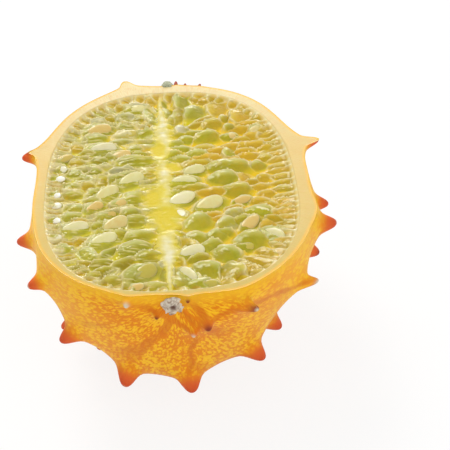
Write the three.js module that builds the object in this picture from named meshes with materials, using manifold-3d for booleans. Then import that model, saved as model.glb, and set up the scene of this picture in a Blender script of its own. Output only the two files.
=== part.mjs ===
// Horned melon, cut in half lengthways: one half, cut face up, standing on the tips of its lower horns.
// Millimetres, +Z up, +Y from the blossom end to the stem end, +X across the fruit.
// The fruit is worked out about the middle of its cut face; the last lines move the whole half so that
// its origin is under the middle of its box, on the surface that it stands on.
import * as THREE from 'three'
import { ConvexHull } from 'three/addons/math/ConvexHull.js'
import { mergeVertices } from 'three/addons/utils/BufferGeometryUtils.js'
import Module from 'manifold-3d'

// Reaches from the middle of the cut face: across, to the blossom end, to the stem end and down
const BODY = { across: 36, blossom: 47.7, stem: 60.7, down: 43.8 }
const CAVITY = { across: 33.8, blossom: 47, stem: 57, down: 40.5 }
const RIM_POWER = 2.6             // fullness of the outline at the cut; 2 is an ellipse
const ROUNDER_BELOW = 1.15        // how much of that fullness is lost straight down
const GAP = 0.3                   // kept between neighbouring pieces

// Horns: a wide flare that blends into the skin, and a blunt cone on it. Shorter horns are narrower.
const FULL_HORN = 7               // length of a horn with just these widths
const FLARE_SHARE = 0.58          // of a horn's length
const FLARE_SPREAD = 5.8
const TIP_RADIUS = 1              // how round the very tip is
const CONE_RADIUS = 1.85          // where the blunt cone is steepest
const CONE_POWER = 2.8            // higher is blunter
const FOOT_HEIGHT = 49.5          // of the cut face above the flat that the lowest horns wear into

// Each horn: degrees around from +X towards +Y, degrees down from the cut face, length and,
// where it leans over, how far its tip is carried around
const HORNS = [
  // cut through by the knife, or just below it
  [100, 0, 6.5], [144, 2, 6.5, 1], [86.5, 0.6, 2], [84, 1.5, 1.5], [80.5, 1.5, 2],
  [33, 0, 7.5], [-20, 7, 7.5, 1],
  // crowded round the blossom end
  [-104, 2, 3.5], [-96, 6, 3], [-87, 1, 2.5], [-82, 9, 4.5], [-86, 12, 3.5], [-72, 5, 6, 2.5],
  // upper ring
  [-175, 17, 7, -1], [121, 15, 7], [62, 14, 7], [92, 19, 6.5], [-145, 15, 6], [8, 14, 6.5], [-40, 19, 6, 3],
  // middle ring
  [158, 34, 7], [135, 34, 7], [106, 34, 7], [74, 33, 7], [45, 31, 7], [22, 30, 7],
  [1, 32, 7], [-61, 40, 8, 1], [-87, 43, 7.5], [-111, 43.5, 8.5, 1], [-133, 33, 7.5, -1],
  // lower ring
  [-154, 47, 6.5, -2], [178, 47, 7], [146, 53, 7], [117, 51, 7], [86, 49, 7], [55, 50, 7], [27, 53, 7],
  [-26, 54, 7.5, 1], [-160, 64, 7], [-4, 66, 7],
  // the horns that it stands on
  [-118, 76, 7.5], [-55, 76, 7.5], [48, 72, 8], [95, 67, 7.5], [158, 74, 8],
]

// Mesh fineness
const SKIN_DIRECTIONS = 1500      // spread evenly over the whole ball of directions
const CAVITY_DIRECTIONS = 900
const HORN_RINGS = [[0.7, 6], [1.5, 8], [2.5, 8], [5, 10]]     // radius round a full horn, points
const HORN_CLEARANCE = 6          // no other skin points this close to a full horn
const NET_CLEARANCE = 0.02        // nor this close to a ring's points, on a ball of radius 1
const RIM_POINTS = 96
const MERGE_WITHIN = 1e-4

// Pulp: a bed with a pale core along it and juice sacs on both sides
const PULP_LEVEL = -1.9           // of the hollows between the sacs, from the cut face
const CORE_OFFSET = -1.6
const CORE_HALF_WIDTH = 2.6
const CORE_RISE = 1
const PULP_GRID = [48, 80]        // steps of the pulp's surface, across and along

// Each sac that stands out: across, along, length, width, degrees turned from +X, rise
const SACS = [
  // left of the core, from the stem end
  [-9, 50.5, 9, 3.5, 0, 1.6], [-4.5, 54, 5, 4, 0, 1.0], [-12, 45.5, 6.5, 3.5, 5, 1.5],
  [-8, 44, 4, 3, -20, 1.2], [-16.5, 44.5, 3.5, 3, -10, 1.2], [-20, 38.5, 9.5, 4.5, 5, 1.8],
  [-12, 38.8, 5, 3.5, 20, 1.5], [-5, 38.8, 4, 3, 0, 1.3], [-11.5, 34.3, 7, 4, 5, 1.8],
  [-6, 35, 5.5, 5, 0, 1.6], [-20.5, 33.2, 7, 4, 0, 1.7], [-13.5, 30.3, 8, 2.5, 5, 1.4],
  [-9.5, 26, 4, 3, 0, 1.4], [-8, 23, 4.5, 3, 0, 1.4], [-16, 22, 4, 3, 0, 1.3],
  [-19.5, 20.5, 5, 3, 0, 1.4], [-9, 18.5, 12, 5.5, 0, 2.0], [-18.5, 17.5, 5, 2.5, 0, 1.2],
  [-5.5, 12, 5.5, 4, 0, 1.4], [-18.5, 9.5, 4, 5, 10, 1.3], [-20.5, 14.5, 4, 3, 10, 1.3],
  [-22.5, 7, 4, 3, 10, 1.2], [-23.5, 11, 5.5, 4, -30, 1.4], [-13, 14, 8, 2.6, 3, 1.7],
  [-13, 10.8, 10, 3.6, 22, 1.6], [-9.5, -1.5, 8, 6.5, 10, 2.0], [-21, -1, 5, 2.5, 0, 1.2],
  [-25.5, -4.5, 6.5, 3.5, -5, 1.4], [-26.5, -8.5, 6, 3.5, 20, 1.4], [-24.5, -10.8, 5, 2, 0, 1.0],
  [-11, -8.5, 6, 3.5, 10, 1.5], [-20.5, 3, 5, 3, 40, 1.5], [-26.5, 2.5, 6, 3, 0, 1.3],
  [-27, 7, 5, 3, -10, 1.2], [-26, 14, 5, 3.5, -20, 1.2], [-25.5, 19.5, 5, 3, 0, 1.2],
  [-29, 22, 5, 4, 0, 1.2], [-9.5, -12.5, 8.5, 4.5, 15, 1.8], [-8.5, -20.5, 8.5, 4.5, 10, 2.1],
  [-14, -18.5, 5, 4.5, 20, 1.6], [-19.5, -13.5, 5, 3, 30, 1.4], [-10, -26, 9.5, 6, 15, 2.2],
  [-6, -30, 8.5, 4.5, 5, 1.8], [-16.5, -26.8, 6, 2.4, 40, 1.5], [-13, -32.5, 7.5, 3.5, 35, 1.8],
  [-8.5, -37.5, 11, 7, 38, 2.3], [-20, -37.8, 4.5, 4, 20, 1.5], [-15.5, -40, 5.5, 4.5, 15, 1.5],
  [-22.8, -35.3, 3.5, 2.5, 20, 1.2], [-5, -44, 8, 4.5, 5, 1.5], [-18.5, -31.5, 7, 3, 10, 1.5],
  [-17.5, -35, 6, 3, 10, 1.4], [-22.5, -31, 5, 2.5, 0, 1.1], [-27.5, -21.5, 4.5, 2.5, 5, 1.1],
  [-24, -20.5, 4.5, 3, 10, 1.2], [-22, 25.5, 7, 2.2, 2, 1.2], [-26, 28, 4, 3.5, 10, 1.2],
  [-26.5, 40.5, 3, 5, 0, 1.1], [-14, 51, 3, 2.5, 0, 1.0], [-20, 43, 6, 3, 20, 1.4],
  // the core's froth
  [-1, -28, 5, 4.5, 80, 1.8], [-2, -33, 5, 3, 30, 1.5], [3, -28.5, 8, 3.5, 12, 1.6],
  // right of the core, from the stem end
  [4.5, 52.3, 9, 5, 85, 2.1], [8, 45, 9, 6, 60, 2.2], [15, 47, 9, 6.5, 80, 1.3],
  [11, 52.5, 8, 3.5, -20, 1.1], [21.5, 41.5, 9, 7, 80, 2.0], [13, 37.5, 7, 5.5, 20, 1.9],
  [27, 33, 7, 4, 80, 1.8], [4.5, 35.5, 5, 5, 70, 1.7], [5, 29.5, 5.5, 3.5, 0, 1.6],
  [11, 30, 8.5, 6.5, 20, 2.2], [24, 29.5, 6, 4, 0, 1.4], [17, 41, 4, 3.5, 60, 1.5],
  [18, 35.3, 4.5, 3.5, 50, 1.7], [21, 24, 4.5, 4, 0, 1.4], [27.5, 22, 4.5, 4, 0, 1.4],
  [17, 20.3, 5.5, 4.6, 80, 2.1], [8, 21, 7, 4, -10, 1.6], [12.5, 18, 5, 3.5, 20, 1.4],
  [22, 18.5, 6.5, 3.5, 0, 1.4], [27, 16.5, 5, 3, 0, 1.2], [16, 12.3, 14, 6.5, -5, 2.3],
  [14.5, 6.2, 9, 6.5, 8, 2.4], [20, 7, 5, 4, 80, 1.3], [24.5, 13, 5, 4.5, 40, 1.4],
  [17.5, -0.3, 9.5, 6, 0, 2.2], [25.5, 6, 4.5, 3.5, 10, 1.3], [25.5, -2.5, 5, 4, 10, 1.3],
  [25.5, -8, 6, 2.8, 0, 1.2], [5.5, 2.8, 9.5, 3.5, 0, 1.3], [16.5, -11.8, 6.5, 4, 15, 2.0],
  [14, -17, 7, 5.5, 35, 2.3], [18, -15, 5, 4, 20, 1.7], [6.5, -15.3, 9, 7, 30, 2.3],
  [11, -22, 6.5, 5, 10, 1.9], [13.5, -20.5, 5, 3, 0, 1.6], [19.5, -25.5, 9.5, 7.5, 0, 2.4],
  [9.5, -26.5, 6.5, 4.5, 20, 1.9], [13, -31, 8.5, 6.5, -25, 2.3], [8, -37.5, 9, 6, -25, 2.2],
  [13.8, -38.5, 8, 7.5, -70, 2.2], [6, -44.3, 8.5, 4.8, -5, 2.1], [1.2, -42, 5, 6, 80, 1.6],
  [6, -32, 6, 3, 15, 1.6], [17, -44, 4, 3, -40, 1.2], [24.5, -18, 5, 5, 30, 1.3],
]

// Seeds: across, along, length, turn from +X, lean up at the far end, roll about the length
const SEED_WIDTH = 0.52           // of the length
const SEED_THICKNESS = 0.24
const SEED_LIFT = 0.5             // of a seed's middle above the pulp under it
const HIGHEST_BED = -0.7          // a seed on a higher sac is sunk into it
const SEED_TAPER = 0.5            // less width and thickness at its tip, more at its round end
const SEED_SIDES = [8, 5]
const SEEDS = [
  // left of the core, from the stem end
  [-9, 49.8, 6, 0, 5, 30], [-11.5, 34.3, 5.5, 15, 5, 20], [-19.5, 37.8, 7, 12, 0, 35],
  [-13.5, 22.8, 6, 15, 5, 25], [-18.5, 26.8, 8, 2, 5, 60], [-29, 21.8, 4.5, 12, 10, 30],
  [-30, 16.3, 4, -35, 10, 40], [-30.5, 10.8, 4, -15, 10, 30], [-31, 2.3, 3.5, -40, 10, 30],
  [-31, -3.2, 3.8, -12, 10, 30], [-30.8, -10.2, 4, -40, 10, 30], [-30.5, -18.7, 3.8, -10, 5, 30],
  [-27.5, -24.2, 4, -12, 5, 30], [-10.5, 8.8, 7.5, 28, 5, 35], [-17, 2.3, 7.5, 42, 5, 35],
  [-20.5, -4.5, 5.5, 36, 5, 30], [-17.2, -8.9, 5.2, 24, 5, 25], [-13.8, -3.3, 4.5, 28, 5, 30],
  [-14.8, -13.7, 7.5, 28, 8, 35], [-18, -21.1, 8, 30, 10, 35], [-25.5, -14.5, 7.5, 15, 5, 45],
  [-22, -26.7, 5, -45, 5, 30], [-8, -37.7, 8, 38, 10, 30], [-9.8, -43.7, 4, 10, 10, 30],
  // right of the core, from the stem end
  [25.6, 33.3, 4.5, 10, 10, 30], [17.6, 30.3, 4, 0, 10, 30], [6.8, 11.8, 6, 15, 5, 40],
  [3.6, 6.3, 7.5, 3, 5, 45], [3, -3.1, 7.5, 24, 10, 30], [10, -6.3, 8, 26, 10, 30],
  [1.8, -9.1, 5, -50, 10, 20], [19, -5.1, 4.5, 13, 5, 30], [22.8, -10.7, 6, -8, 5, 30],
  [20.2, -16.7, 6.5, 48, 10, 20], [25.4, -22.5, 7.5, -37, 10, 50], [17.8, -27.7, 5, 0, 10, 30],
  [4.6, -28.7, 6.5, 14, 5, 40], [3, -38.7, 6.5, -50, 5, 50], [7.6, -44.3, 5, 5, 10, 35],
]

// Ends of the fruit, both grown into the skin
const SCAR = { radius: 2.7, height: 0.8, across: -1, down: 3, end: -1 }    // dry, left by the flower
const STUB = { radius: 2.2, height: 4.6, across: 0.8, down: 1.7, end: 1 }  // dry end of the stem
const SPURS = [                   // dry tips in the skin beside it
  { radius: 0.8, height: 4, across: 3.3, down: 1, end: 1 },
  { radius: 0.6, height: 2.4, across: 6, down: 0.8, end: 1 },
  { radius: 0.6, height: 2.4, across: 10.2, down: 0.8, end: 1 },
]
const END_ROOT = 2                // how deep both reach into the flesh
const END_TAPER = 0.8             // of the radius is left at the brim
const END_DISH = 0.8              // of the height is left in the middle
const END_SIDES = 12

const wasm = await Module()
wasm.setup()

const finish = (color, roughness) => new THREE.MeshStandardMaterial({ color, roughness, metalness: 0 })
const RIND_FINISH = finish('#ee9f22', 0.45)
const PULP_FINISH = finish('#b3ad33', 0.2)
const SEED_FINISH = finish('#ece3bd', 0.3)

// ---- turning three.js geometry into solids and back ----

function solidOf(geometry) {
  const bare = geometry.clone()
  for (const name of ['normal', 'uv']) bare.deleteAttribute(name)
  const merged = mergeVertices(bare, MERGE_WITHIN)
  return new wasm.Manifold(new wasm.Mesh({
    numProp: 3,
    vertProperties: new Float32Array(merged.attributes.position.array),
    triVerts: new Uint32Array(merged.index.array),
  }))
}

function geometryOf(solid) {
  const mesh = solid.getMesh()
  const geometry = new THREE.BufferGeometry()
  geometry.setAttribute('position', new THREE.BufferAttribute(mesh.vertProperties, 3))
  geometry.setIndex(new THREE.BufferAttribute(mesh.triVerts, 1))
  geometry.computeVertexNormals()
  return geometry
}

function named(name, geometry, material) {
  const mesh = new THREE.Mesh(geometry, material)
  mesh.name = name
  return mesh
}

// ---- the body's surface ----

const radians = THREE.MathUtils.degToRad

function directionAt(around, down) {
  return new THREE.Vector3(
    Math.cos(radians(down)) * Math.cos(radians(around)),
    Math.cos(radians(down)) * Math.sin(radians(around)),
    -Math.sin(radians(down)))
}

// Where a direction from the middle meets a closed shape with those reaches, and the way out there
function surfaceAt(direction, { across, blossom, stem, down }, inset = 0) {
  const reach = new THREE.Vector3(across, direction.y < 0 ? blossom : stem, down).addScalar(-inset)
  const power = RIM_POWER - ROUNDER_BELOW * Math.abs(direction.z)
  const x = Math.abs(direction.x) / reach.x
  const y = Math.abs(direction.y) / reach.y
  const z = direction.z / reach.z
  const plan = (x ** power + y ** power) ** (1 / power)
  const share = plan > 0 ? plan ** (2 - power) : 0
  const normal = new THREE.Vector3(
    Math.sign(direction.x) * share * x ** (power - 1) / reach.x,
    Math.sign(direction.y) * share * y ** (power - 1) / reach.y,
    z / reach.z).normalize()
  return { point: direction.clone().divideScalar(Math.hypot(plan, z)), normal }
}

const bodyAt = direction => surfaceAt(direction, BODY)

const horns = HORNS.map(([around, down, length, carried = 0]) => {
  const direction = directionAt(around, down)
  const { point, normal } = bodyAt(direction)
  const side = new THREE.Vector3(0, 0, 1).cross(normal).normalize()
  return { direction, point, normal, side, length, carried, size: length / FULL_HORN }
})

// The skin outside a point of the body: flares add up, and each cone stands on them
function skinOver({ point, normal }) {
  const skin = point.clone()
  for (const horn of horns) {
    const distance = point.distanceTo(horn.point) / horn.size
    const flare = Math.exp((TIP_RADIUS - Math.hypot(distance, TIP_RADIUS)) / FLARE_SPREAD)
    const cone = Math.exp(-((distance / CONE_RADIUS) ** CONE_POWER))
    const height = FLARE_SHARE * flare + (1 - FLARE_SHARE) * cone
    skin.addScaledVector(normal, horn.length * height).addScaledVector(horn.side, horn.carried * cone)
  }
  return skin
}

// ---- closed surfaces round the middle of the fruit ----

const golden = Math.PI * (3 - Math.sqrt(5))
const evenDirections = count => Array.from({ length: count }, (_, i) => {
  const height = 1 - 2 * (i + 0.5) / count
  const ring = Math.sqrt(1 - height ** 2)
  return new THREE.Vector3(ring * Math.cos(golden * i), ring * Math.sin(golden * i), height)
})

const rimDirections = Array.from({ length: RIM_POINTS }, (_, i) => directionAt(360 * i / RIM_POINTS, 0))

// The hull of points on a unit ball joins neighbouring directions with triangles
function shellOver(directions, surface) {
  const positions = []
  for (const face of new ConvexHull().setFromPoints(directions).faces) {
    let edge = face.edge
    do {
      positions.push(...surface(edge.head().point).toArray())
      edge = edge.next
    } while (edge !== face.edge)
  }
  const geometry = new THREE.BufferGeometry()
  geometry.setAttribute('position', new THREE.Float32BufferAttribute(positions, 3))
  return solidOf(geometry)
}

// Rings of directions round a horn, so that its cone and flare keep their shape
function hornDirections(horn) {
  const up = horn.normal.clone().cross(horn.side)
  const rings = HORN_RINGS.flatMap(([radius, points]) => Array.from({ length: points }, (_, i) => {
    const angle = 2 * Math.PI * (i + radius) / points
    return horn.point.clone()
      .addScaledVector(horn.side, horn.size * radius * Math.cos(angle))
      .addScaledVector(up, horn.size * radius * Math.sin(angle))
      .normalize()
  }))
  return [horn.direction, ...rings]
}

function skinSolid() {
  const own = horns.flatMap(hornDirections)
  const clear = direction => horns.every(horn =>
    bodyAt(direction).point.distanceTo(horn.point) > HORN_CLEARANCE * horn.size)
  const apart = directions => directions.filter(direction =>
    own.every(other => direction.distanceTo(other) > NET_CLEARANCE))
  const rest = [...rimDirections, ...evenDirections(SKIN_DIRECTIONS)].filter(clear)
  return shellOver([...own, ...apart(rest)], direction => skinOver(bodyAt(direction)))
}

const cavitySolid = inset => shellOver([...rimDirections, ...evenDirections(CAVITY_DIRECTIONS)],
  direction => surfaceAt(direction, CAVITY, inset).point)

// A block wider than the fruit, from one height to another
function slab(low, high) {
  const wide = 4 * BODY.stem
  return solidOf(new THREE.BoxGeometry(wide, wide, high - low).translate(0, 0, (low + high) / 2))
}

// ---- the pulp's top ----

// Half an ellipsoid over each sac, and a low ridge over the core
function pulpHeight(x, y) {
  const core = CORE_RISE * (1 - Math.min(1, Math.abs(x - CORE_OFFSET) / CORE_HALF_WIDTH) ** 2)
  const domes = SACS.map(([across, along, length, width, turn, rise]) => {
    const place = new THREE.Vector2(x - across, y - along).rotateAround(new THREE.Vector2(), -radians(turn))
    const spread = (2 * place.x / length) ** 2 + (2 * place.y / width) ** 2
    return rise * Math.sqrt(Math.max(0, 1 - spread))
  })
  return PULP_LEVEL + Math.max(core, ...domes)
}

function pulpBlock() {
  const block = new THREE.BoxGeometry(2 * BODY.across, 2 * BODY.stem, 2 * BODY.down, ...PULP_GRID, 1)
  const position = block.attributes.position
  for (let i = 0; i < position.count; i++) {
    if (position.getZ(i) > 0) position.setZ(i, pulpHeight(position.getX(i), position.getY(i)))
  }
  return solidOf(block)
}

// ---- seeds and the two ends ----

// Flat and egg-shaped, pointed at the end by which it hung
function seedGeometry([x, y, length, turn, lean, roll], growth = 0) {
  const shape = new THREE.SphereGeometry(0.5, ...SEED_SIDES).rotateZ(Math.PI / 2)
  const position = shape.attributes.position
  for (let i = 0; i < position.count; i++) {
    const taper = 1 - SEED_TAPER * position.getX(i)
    position.setXYZ(i, position.getX(i), position.getY(i) * taper, position.getZ(i) * taper)
  }
  shape.scale(length + 2 * growth, length * SEED_WIDTH + 2 * growth, length * SEED_THICKNESS + 2 * growth)
  shape.rotateX(radians(roll)).rotateY(-radians(lean)).rotateZ(radians(turn))
  return shape.translate(x, y, Math.min(pulpHeight(x, y), HIGHEST_BED) + SEED_LIFT)
}

// A low knob on the skin, its axis along the way out
function knob({ radius, height, across, down, end }) {
  const profile = [
    [0, -END_ROOT], [radius, -END_ROOT], [radius, 0],
    [radius * END_TAPER, height], [0, height * END_DISH],
  ].map(([r, h]) => new THREE.Vector2(r, h))
  const reach = end < 0 ? -BODY.blossom : BODY.stem
  const place = bodyAt(new THREE.Vector3(across, reach, -down).normalize())
  const turn = new THREE.Quaternion().setFromUnitVectors(new THREE.Vector3(0, 1, 0), place.normal)
  return solidOf(new THREE.LatheGeometry(profile, END_SIDES)
    .applyQuaternion(turn).translate(...skinOver(place).toArray()))
}

// ---- the half fruit ----

const cutAway = slab(0, 2 * BODY.down)
const worn = slab(-3 * BODY.down, -FOOT_HEIGHT)
const rind = [SCAR, STUB, ...SPURS].reduce((whole, end) => whole.add(knob(end)), skinSolid())
  .subtract(cavitySolid(0)).subtract(cutAway).subtract(worn)

let pulp = cavitySolid(GAP).intersect(pulpBlock())
for (const seed of SEEDS) pulp = pulp.subtract(solidOf(seedGeometry(seed, GAP)))

const half = new THREE.Group()
half.add(named('rind', geometryOf(rind), RIND_FINISH))
half.add(named('pulp', geometryOf(pulp), PULP_FINISH))
SEEDS.forEach((seed, i) => {
  const name = `seed_${String(i + 1).padStart(2, '0')}`
  half.add(named(name, geometryOf(solidOf(seedGeometry(seed))), SEED_FINISH))
})

const box = new THREE.Box3().setFromObject(half)
const middle = box.getCenter(new THREE.Vector3())
half.position.set(-middle.x, -middle.y, -box.min.z)

export default half
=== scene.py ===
# %% [markdown]
# # Half a horned melon, cut face up
#
# A horned melon is the fruit of an African cucumber. This one was halved lengthways: a thin skin
# with blunt horns, a pale wall of flesh, and a bed of green juice sacs with flat seeds in them.
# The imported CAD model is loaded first. It fixes the place and the size of everything below, and
# the fine pieces made here stand for its plain ones.

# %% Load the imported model
import math

import bpy
import numpy as np
from mathutils import Matrix, Vector, noise
from mathutils.geometry import delaunay_2d_cdt


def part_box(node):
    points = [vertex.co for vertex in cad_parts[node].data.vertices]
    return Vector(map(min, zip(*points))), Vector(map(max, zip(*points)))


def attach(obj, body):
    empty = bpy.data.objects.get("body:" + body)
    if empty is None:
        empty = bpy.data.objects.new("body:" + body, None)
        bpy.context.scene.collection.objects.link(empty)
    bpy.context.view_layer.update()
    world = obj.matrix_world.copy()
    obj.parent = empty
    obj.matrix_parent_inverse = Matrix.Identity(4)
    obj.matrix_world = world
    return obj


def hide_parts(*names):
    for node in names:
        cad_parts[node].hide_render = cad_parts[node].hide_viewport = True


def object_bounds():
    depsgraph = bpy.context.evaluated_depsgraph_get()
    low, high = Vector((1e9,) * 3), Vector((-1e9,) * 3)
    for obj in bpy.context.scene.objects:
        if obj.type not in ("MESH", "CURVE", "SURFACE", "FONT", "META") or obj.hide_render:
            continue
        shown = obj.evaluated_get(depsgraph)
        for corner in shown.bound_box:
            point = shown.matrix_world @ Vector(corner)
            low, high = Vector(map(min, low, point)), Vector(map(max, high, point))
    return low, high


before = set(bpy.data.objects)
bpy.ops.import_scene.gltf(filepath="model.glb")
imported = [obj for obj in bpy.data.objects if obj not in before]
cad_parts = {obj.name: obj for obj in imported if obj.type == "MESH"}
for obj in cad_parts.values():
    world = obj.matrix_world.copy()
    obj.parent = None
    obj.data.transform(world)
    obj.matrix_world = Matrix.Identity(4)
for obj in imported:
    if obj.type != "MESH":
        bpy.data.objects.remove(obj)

cad_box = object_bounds()
print("nodes in the frame:", len(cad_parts))

# %% [markdown]
# ## Where the fruit is
#
# Shapes are worked out in millimetres about the middle of the cut face: +X across the fruit,
# +Y towards the stem end, +Z up. The pulp's solid fills the hollow of the fruit, so its box gives
# that middle, and the top of the rind's box is the cut itself. Blender works in metres in the
# frame of the model, and one function changes from one to the other.

# %% The fruit's middle and main sizes
MM = 0.001
BODY = {"across": 36, "blossom": 47.7, "stem": 60.7, "down": 43.8}
CAVITY = {"across": 33.8, "blossom": 47, "stem": 57, "down": 40.5}
RIM_POWER = 2.6          # fullness of the outline at the cut; 2 is an ellipse
ROUNDER_BELOW = 1.15     # how much of that fullness is lost straight down
GAP = 0.3                # between the pulp's solid and the wall

pulp_low, pulp_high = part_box("pulp")
rind_low, rind_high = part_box("rind")
middle = Vector((
    (pulp_low.x + pulp_high.x) / 2,
    pulp_low.y + (CAVITY["blossom"] - GAP) * MM,
    rind_high.z,
))
FOOT_HEIGHT = (rind_high.z - rind_low.z) / MM     # of the cut above the surface that it stands on


def in_metres(points):
    """Millimetres about the middle of the cut face, as metres in the frame of the model."""
    return np.asarray(points, float) * MM + np.array(middle)


print("middle of the cut face, mm:", [round(c / MM, 2) for c in middle])

# %% [markdown]
# ## Colours and material nodes
#
# Colours are written as sRGB hex values, the way they are picked, and one function turns them
# into the linear values that a shader wants. A second function adds one node to a material with
# its settings and its links, so that each material below reads as a list of steps. Blender's Mix
# node has sockets for every kind of value: for colours they are inputs 6 and 7 and output 2.

# %% Two helpers for materials
def colour(hex_value):
    """An sRGB hex colour as linear RGBA."""
    parts = [int(hex_value[i:i + 2], 16) / 255 for i in (1, 3, 5)]
    return tuple(p / 12.92 if p <= 0.04045 else ((p + 0.055) / 1.055) ** 2.4 for p in parts) + (1.0,)


def add(tree, kind, inputs=None, stops=None, **settings):
    """A new node. An input that is another node's socket is linked, and anything else is its value."""
    node = tree.nodes.new(kind)
    for name, value in settings.items():
        setattr(node, name, value)
    for name, value in (inputs or {}).items():
        if isinstance(value, bpy.types.NodeSocket):
            tree.links.new(value, node.inputs[name])
        else:
            node.inputs[name].default_value = value
    if stops:
        ramp = node.color_ramp
        while len(ramp.elements) < len(stops):
            ramp.elements.new(1.0)
        for element, (place, shade) in zip(ramp.elements, stops):
            element.position = place
            element.color = colour(shade) if isinstance(shade, str) else (shade, shade, shade, 1.0)
    return node


def new_material(name):
    """An empty node material and the tree that its nodes go into."""
    material = bpy.data.materials.new(name)
    material.use_nodes = True
    material.node_tree.nodes.clear()
    return material, material.node_tree


def end_with(tree, surface, height=None, depth=0.0):
    """Joins the surface to the output, with a bump of that depth in metres where a height is given."""
    if height is not None:
        bump = add(tree, "ShaderNodeBump", {"Height": height, "Distance": depth, "Strength": 1.0})
        tree.links.new(bump.outputs["Normal"], surface.inputs["Normal"])
    add(tree, "ShaderNodeOutputMaterial", {"Surface": surface.outputs[0]})


print("middle grey, #808080, in linear light:", round(colour("#808080")[0], 3))

# %% [markdown]
# ## Meshes
#
# Every piece is a mesh worked out from points. Facts about a point, such as how near it is to a
# horn, go with the mesh as attributes, and the materials read them by name.

# %% A helper for meshes
ROOT = "root"


def unit(vectors):
    """Each row of an array at length one."""
    return vectors / np.maximum(np.linalg.norm(vectors, axis=-1, keepdims=True), 1e-12)


def make_piece(name, points, faces, materials, facts=None, face_material=None):
    """A smooth mesh piece from points in millimetres, riding on the fruit."""
    mesh = bpy.data.meshes.new(name)
    mesh.from_pydata(in_metres(points).tolist(), [], [list(map(int, f)) for f in faces])
    for material in materials:
        mesh.materials.append(material)
    for fact, values in (facts or {}).items():
        kind, field = ("FLOAT_VECTOR", "vector") if np.ndim(values) == 2 else ("FLOAT", "value")
        attribute = mesh.attributes.new(fact, kind, "POINT")
        attribute.data.foreach_set(field, np.asarray(values, np.float32).ravel())
    mesh.polygons.foreach_set("use_smooth", np.ones(len(mesh.polygons), bool))
    if face_material is not None:
        mesh.polygons.foreach_set("material_index", np.asarray(face_material, np.int32))
    mesh.validate()
    mesh.update()
    made = bpy.data.objects.new(name, mesh)
    bpy.context.scene.collection.objects.link(made)
    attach(made, ROOT)
    print(f"{name}: {len(mesh.vertices)} points, {len(mesh.polygons)} faces")
    return made


# %% [markdown]
# ## The body and its horns
#
# The body is a round shape that is fuller at the cut than below, and longer to the stem end than
# to the blossom end. Each horn is a wide flare that blends into the skin with a blunt cone on it.
# The rule is the one the solids were made with, so the fine skin lies where the solid one does.

# %% Where the horns are
HORNS = [  # degrees around from +X to +Y, degrees down, length, and how far the tip leans around
    # cut through by the knife, or just below it
    (100, 0, 6.5, 0), (144, 2, 6.5, 1), (86.5, 0.6, 2, 0), (84, 1.5, 1.5, 0), (80.5, 1.5, 2, 0),
    (33, 0, 7.5, 0), (-20, 7, 7.5, 1),
    # crowded round the blossom end
    (-104, 2, 3.5, 0), (-96, 6, 3, 0), (-87, 1, 2.5, 0), (-82, 9, 4.5, 0), (-86, 12, 3.5, 0),
    (-72, 5, 6, 2.5),
    # upper ring
    (-175, 17, 7, -1), (121, 15, 7, 0), (62, 14, 7, 0), (92, 19, 6.5, 0), (-145, 15, 6, 0),
    (8, 14, 6.5, 0), (-40, 19, 6, 3),
    # middle ring
    (158, 34, 7, 0), (135, 34, 7, 0), (106, 34, 7, 0), (74, 33, 7, 0), (45, 31, 7, 0), (22, 30, 7, 0),
    (1, 32, 7, 0), (-61, 40, 8, 1), (-87, 43, 7.5, 0), (-111, 43.5, 8.5, 1), (-133, 33, 7.5, -1),
    # lower ring
    (-154, 47, 6.5, -2), (178, 47, 7, 0), (146, 53, 7, 0), (117, 51, 7, 0), (86, 49, 7, 0),
    (55, 50, 7, 0), (27, 53, 7, 0), (-26, 54, 7.5, 1), (-160, 64, 7, 0), (-4, 66, 7, 0),
    # the horns that it stands on
    (-118, 76, 7.5, 0), (-55, 76, 7.5, 0), (48, 72, 8, 0), (95, 67, 7.5, 0), (158, 74, 8, 0),
]
FULL_HORN = 7            # length of a horn with just the widths below; shorter ones are narrower
ORANGE_HORNS = {12: 0.3, 19: 0.25}       # horns with less red on them than their length gives
BARE_LENGTH, RED_LENGTH = 2, 6           # of a horn with no red, and of one with all of it

horn_table = np.array(HORNS, float)
horn_lengths, horn_leans = horn_table[:, 2], horn_table[:, 3]
horn_sizes = horn_lengths / FULL_HORN
horn_reds = np.clip((horn_lengths - BARE_LENGTH) / (RED_LENGTH - BARE_LENGTH), 0, 1)
for number, share in ORANGE_HORNS.items():
    horn_reds[number] = share
print("horns:", len(HORNS), "- mean length, mm:", round(float(horn_lengths.mean()), 1))


# %% The surface of the body
def directions_at(around, down):
    """Unit directions from degrees around and degrees down."""
    around, down = np.radians(around), np.radians(down)
    return np.stack([np.cos(down) * np.cos(around), np.cos(down) * np.sin(around), -np.sin(down)], -1)


def surface_at(directions, reach, inset=0.0):
    """Where directions from the middle meet a closed shape with those reaches, and the way out there."""
    along = np.where(directions[:, 1] < 0, reach["blossom"], reach["stem"])
    half = np.stack([np.full(len(along), reach["across"]), along, np.full(len(along), reach["down"])], 1)
    half = half - inset
    power = RIM_POWER - ROUNDER_BELOW * np.abs(directions[:, 2])
    x, y = (np.abs(directions[:, :2]) / half[:, :2]).T
    z = directions[:, 2] / half[:, 2]
    plan = (x ** power + y ** power) ** (1 / power)
    share = np.maximum(plan, 1e-9) ** (2 - power)
    normals = np.stack([
        np.sign(directions[:, 0]) * share * x ** (power - 1) / half[:, 0],
        np.sign(directions[:, 1]) * share * y ** (power - 1) / half[:, 1],
        z / half[:, 2],
    ], 1)
    return directions / np.hypot(plan, z)[:, None], unit(normals)


horn_ways = directions_at(horn_table[:, 0], horn_table[:, 1])
horn_roots, horn_normals = surface_at(horn_ways, BODY)
horn_sides = unit(np.cross([0, 0, 1], horn_normals))
print("lowest horn's root, mm below the cut:", round(float(-horn_roots[:, 2].min()), 1))

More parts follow.
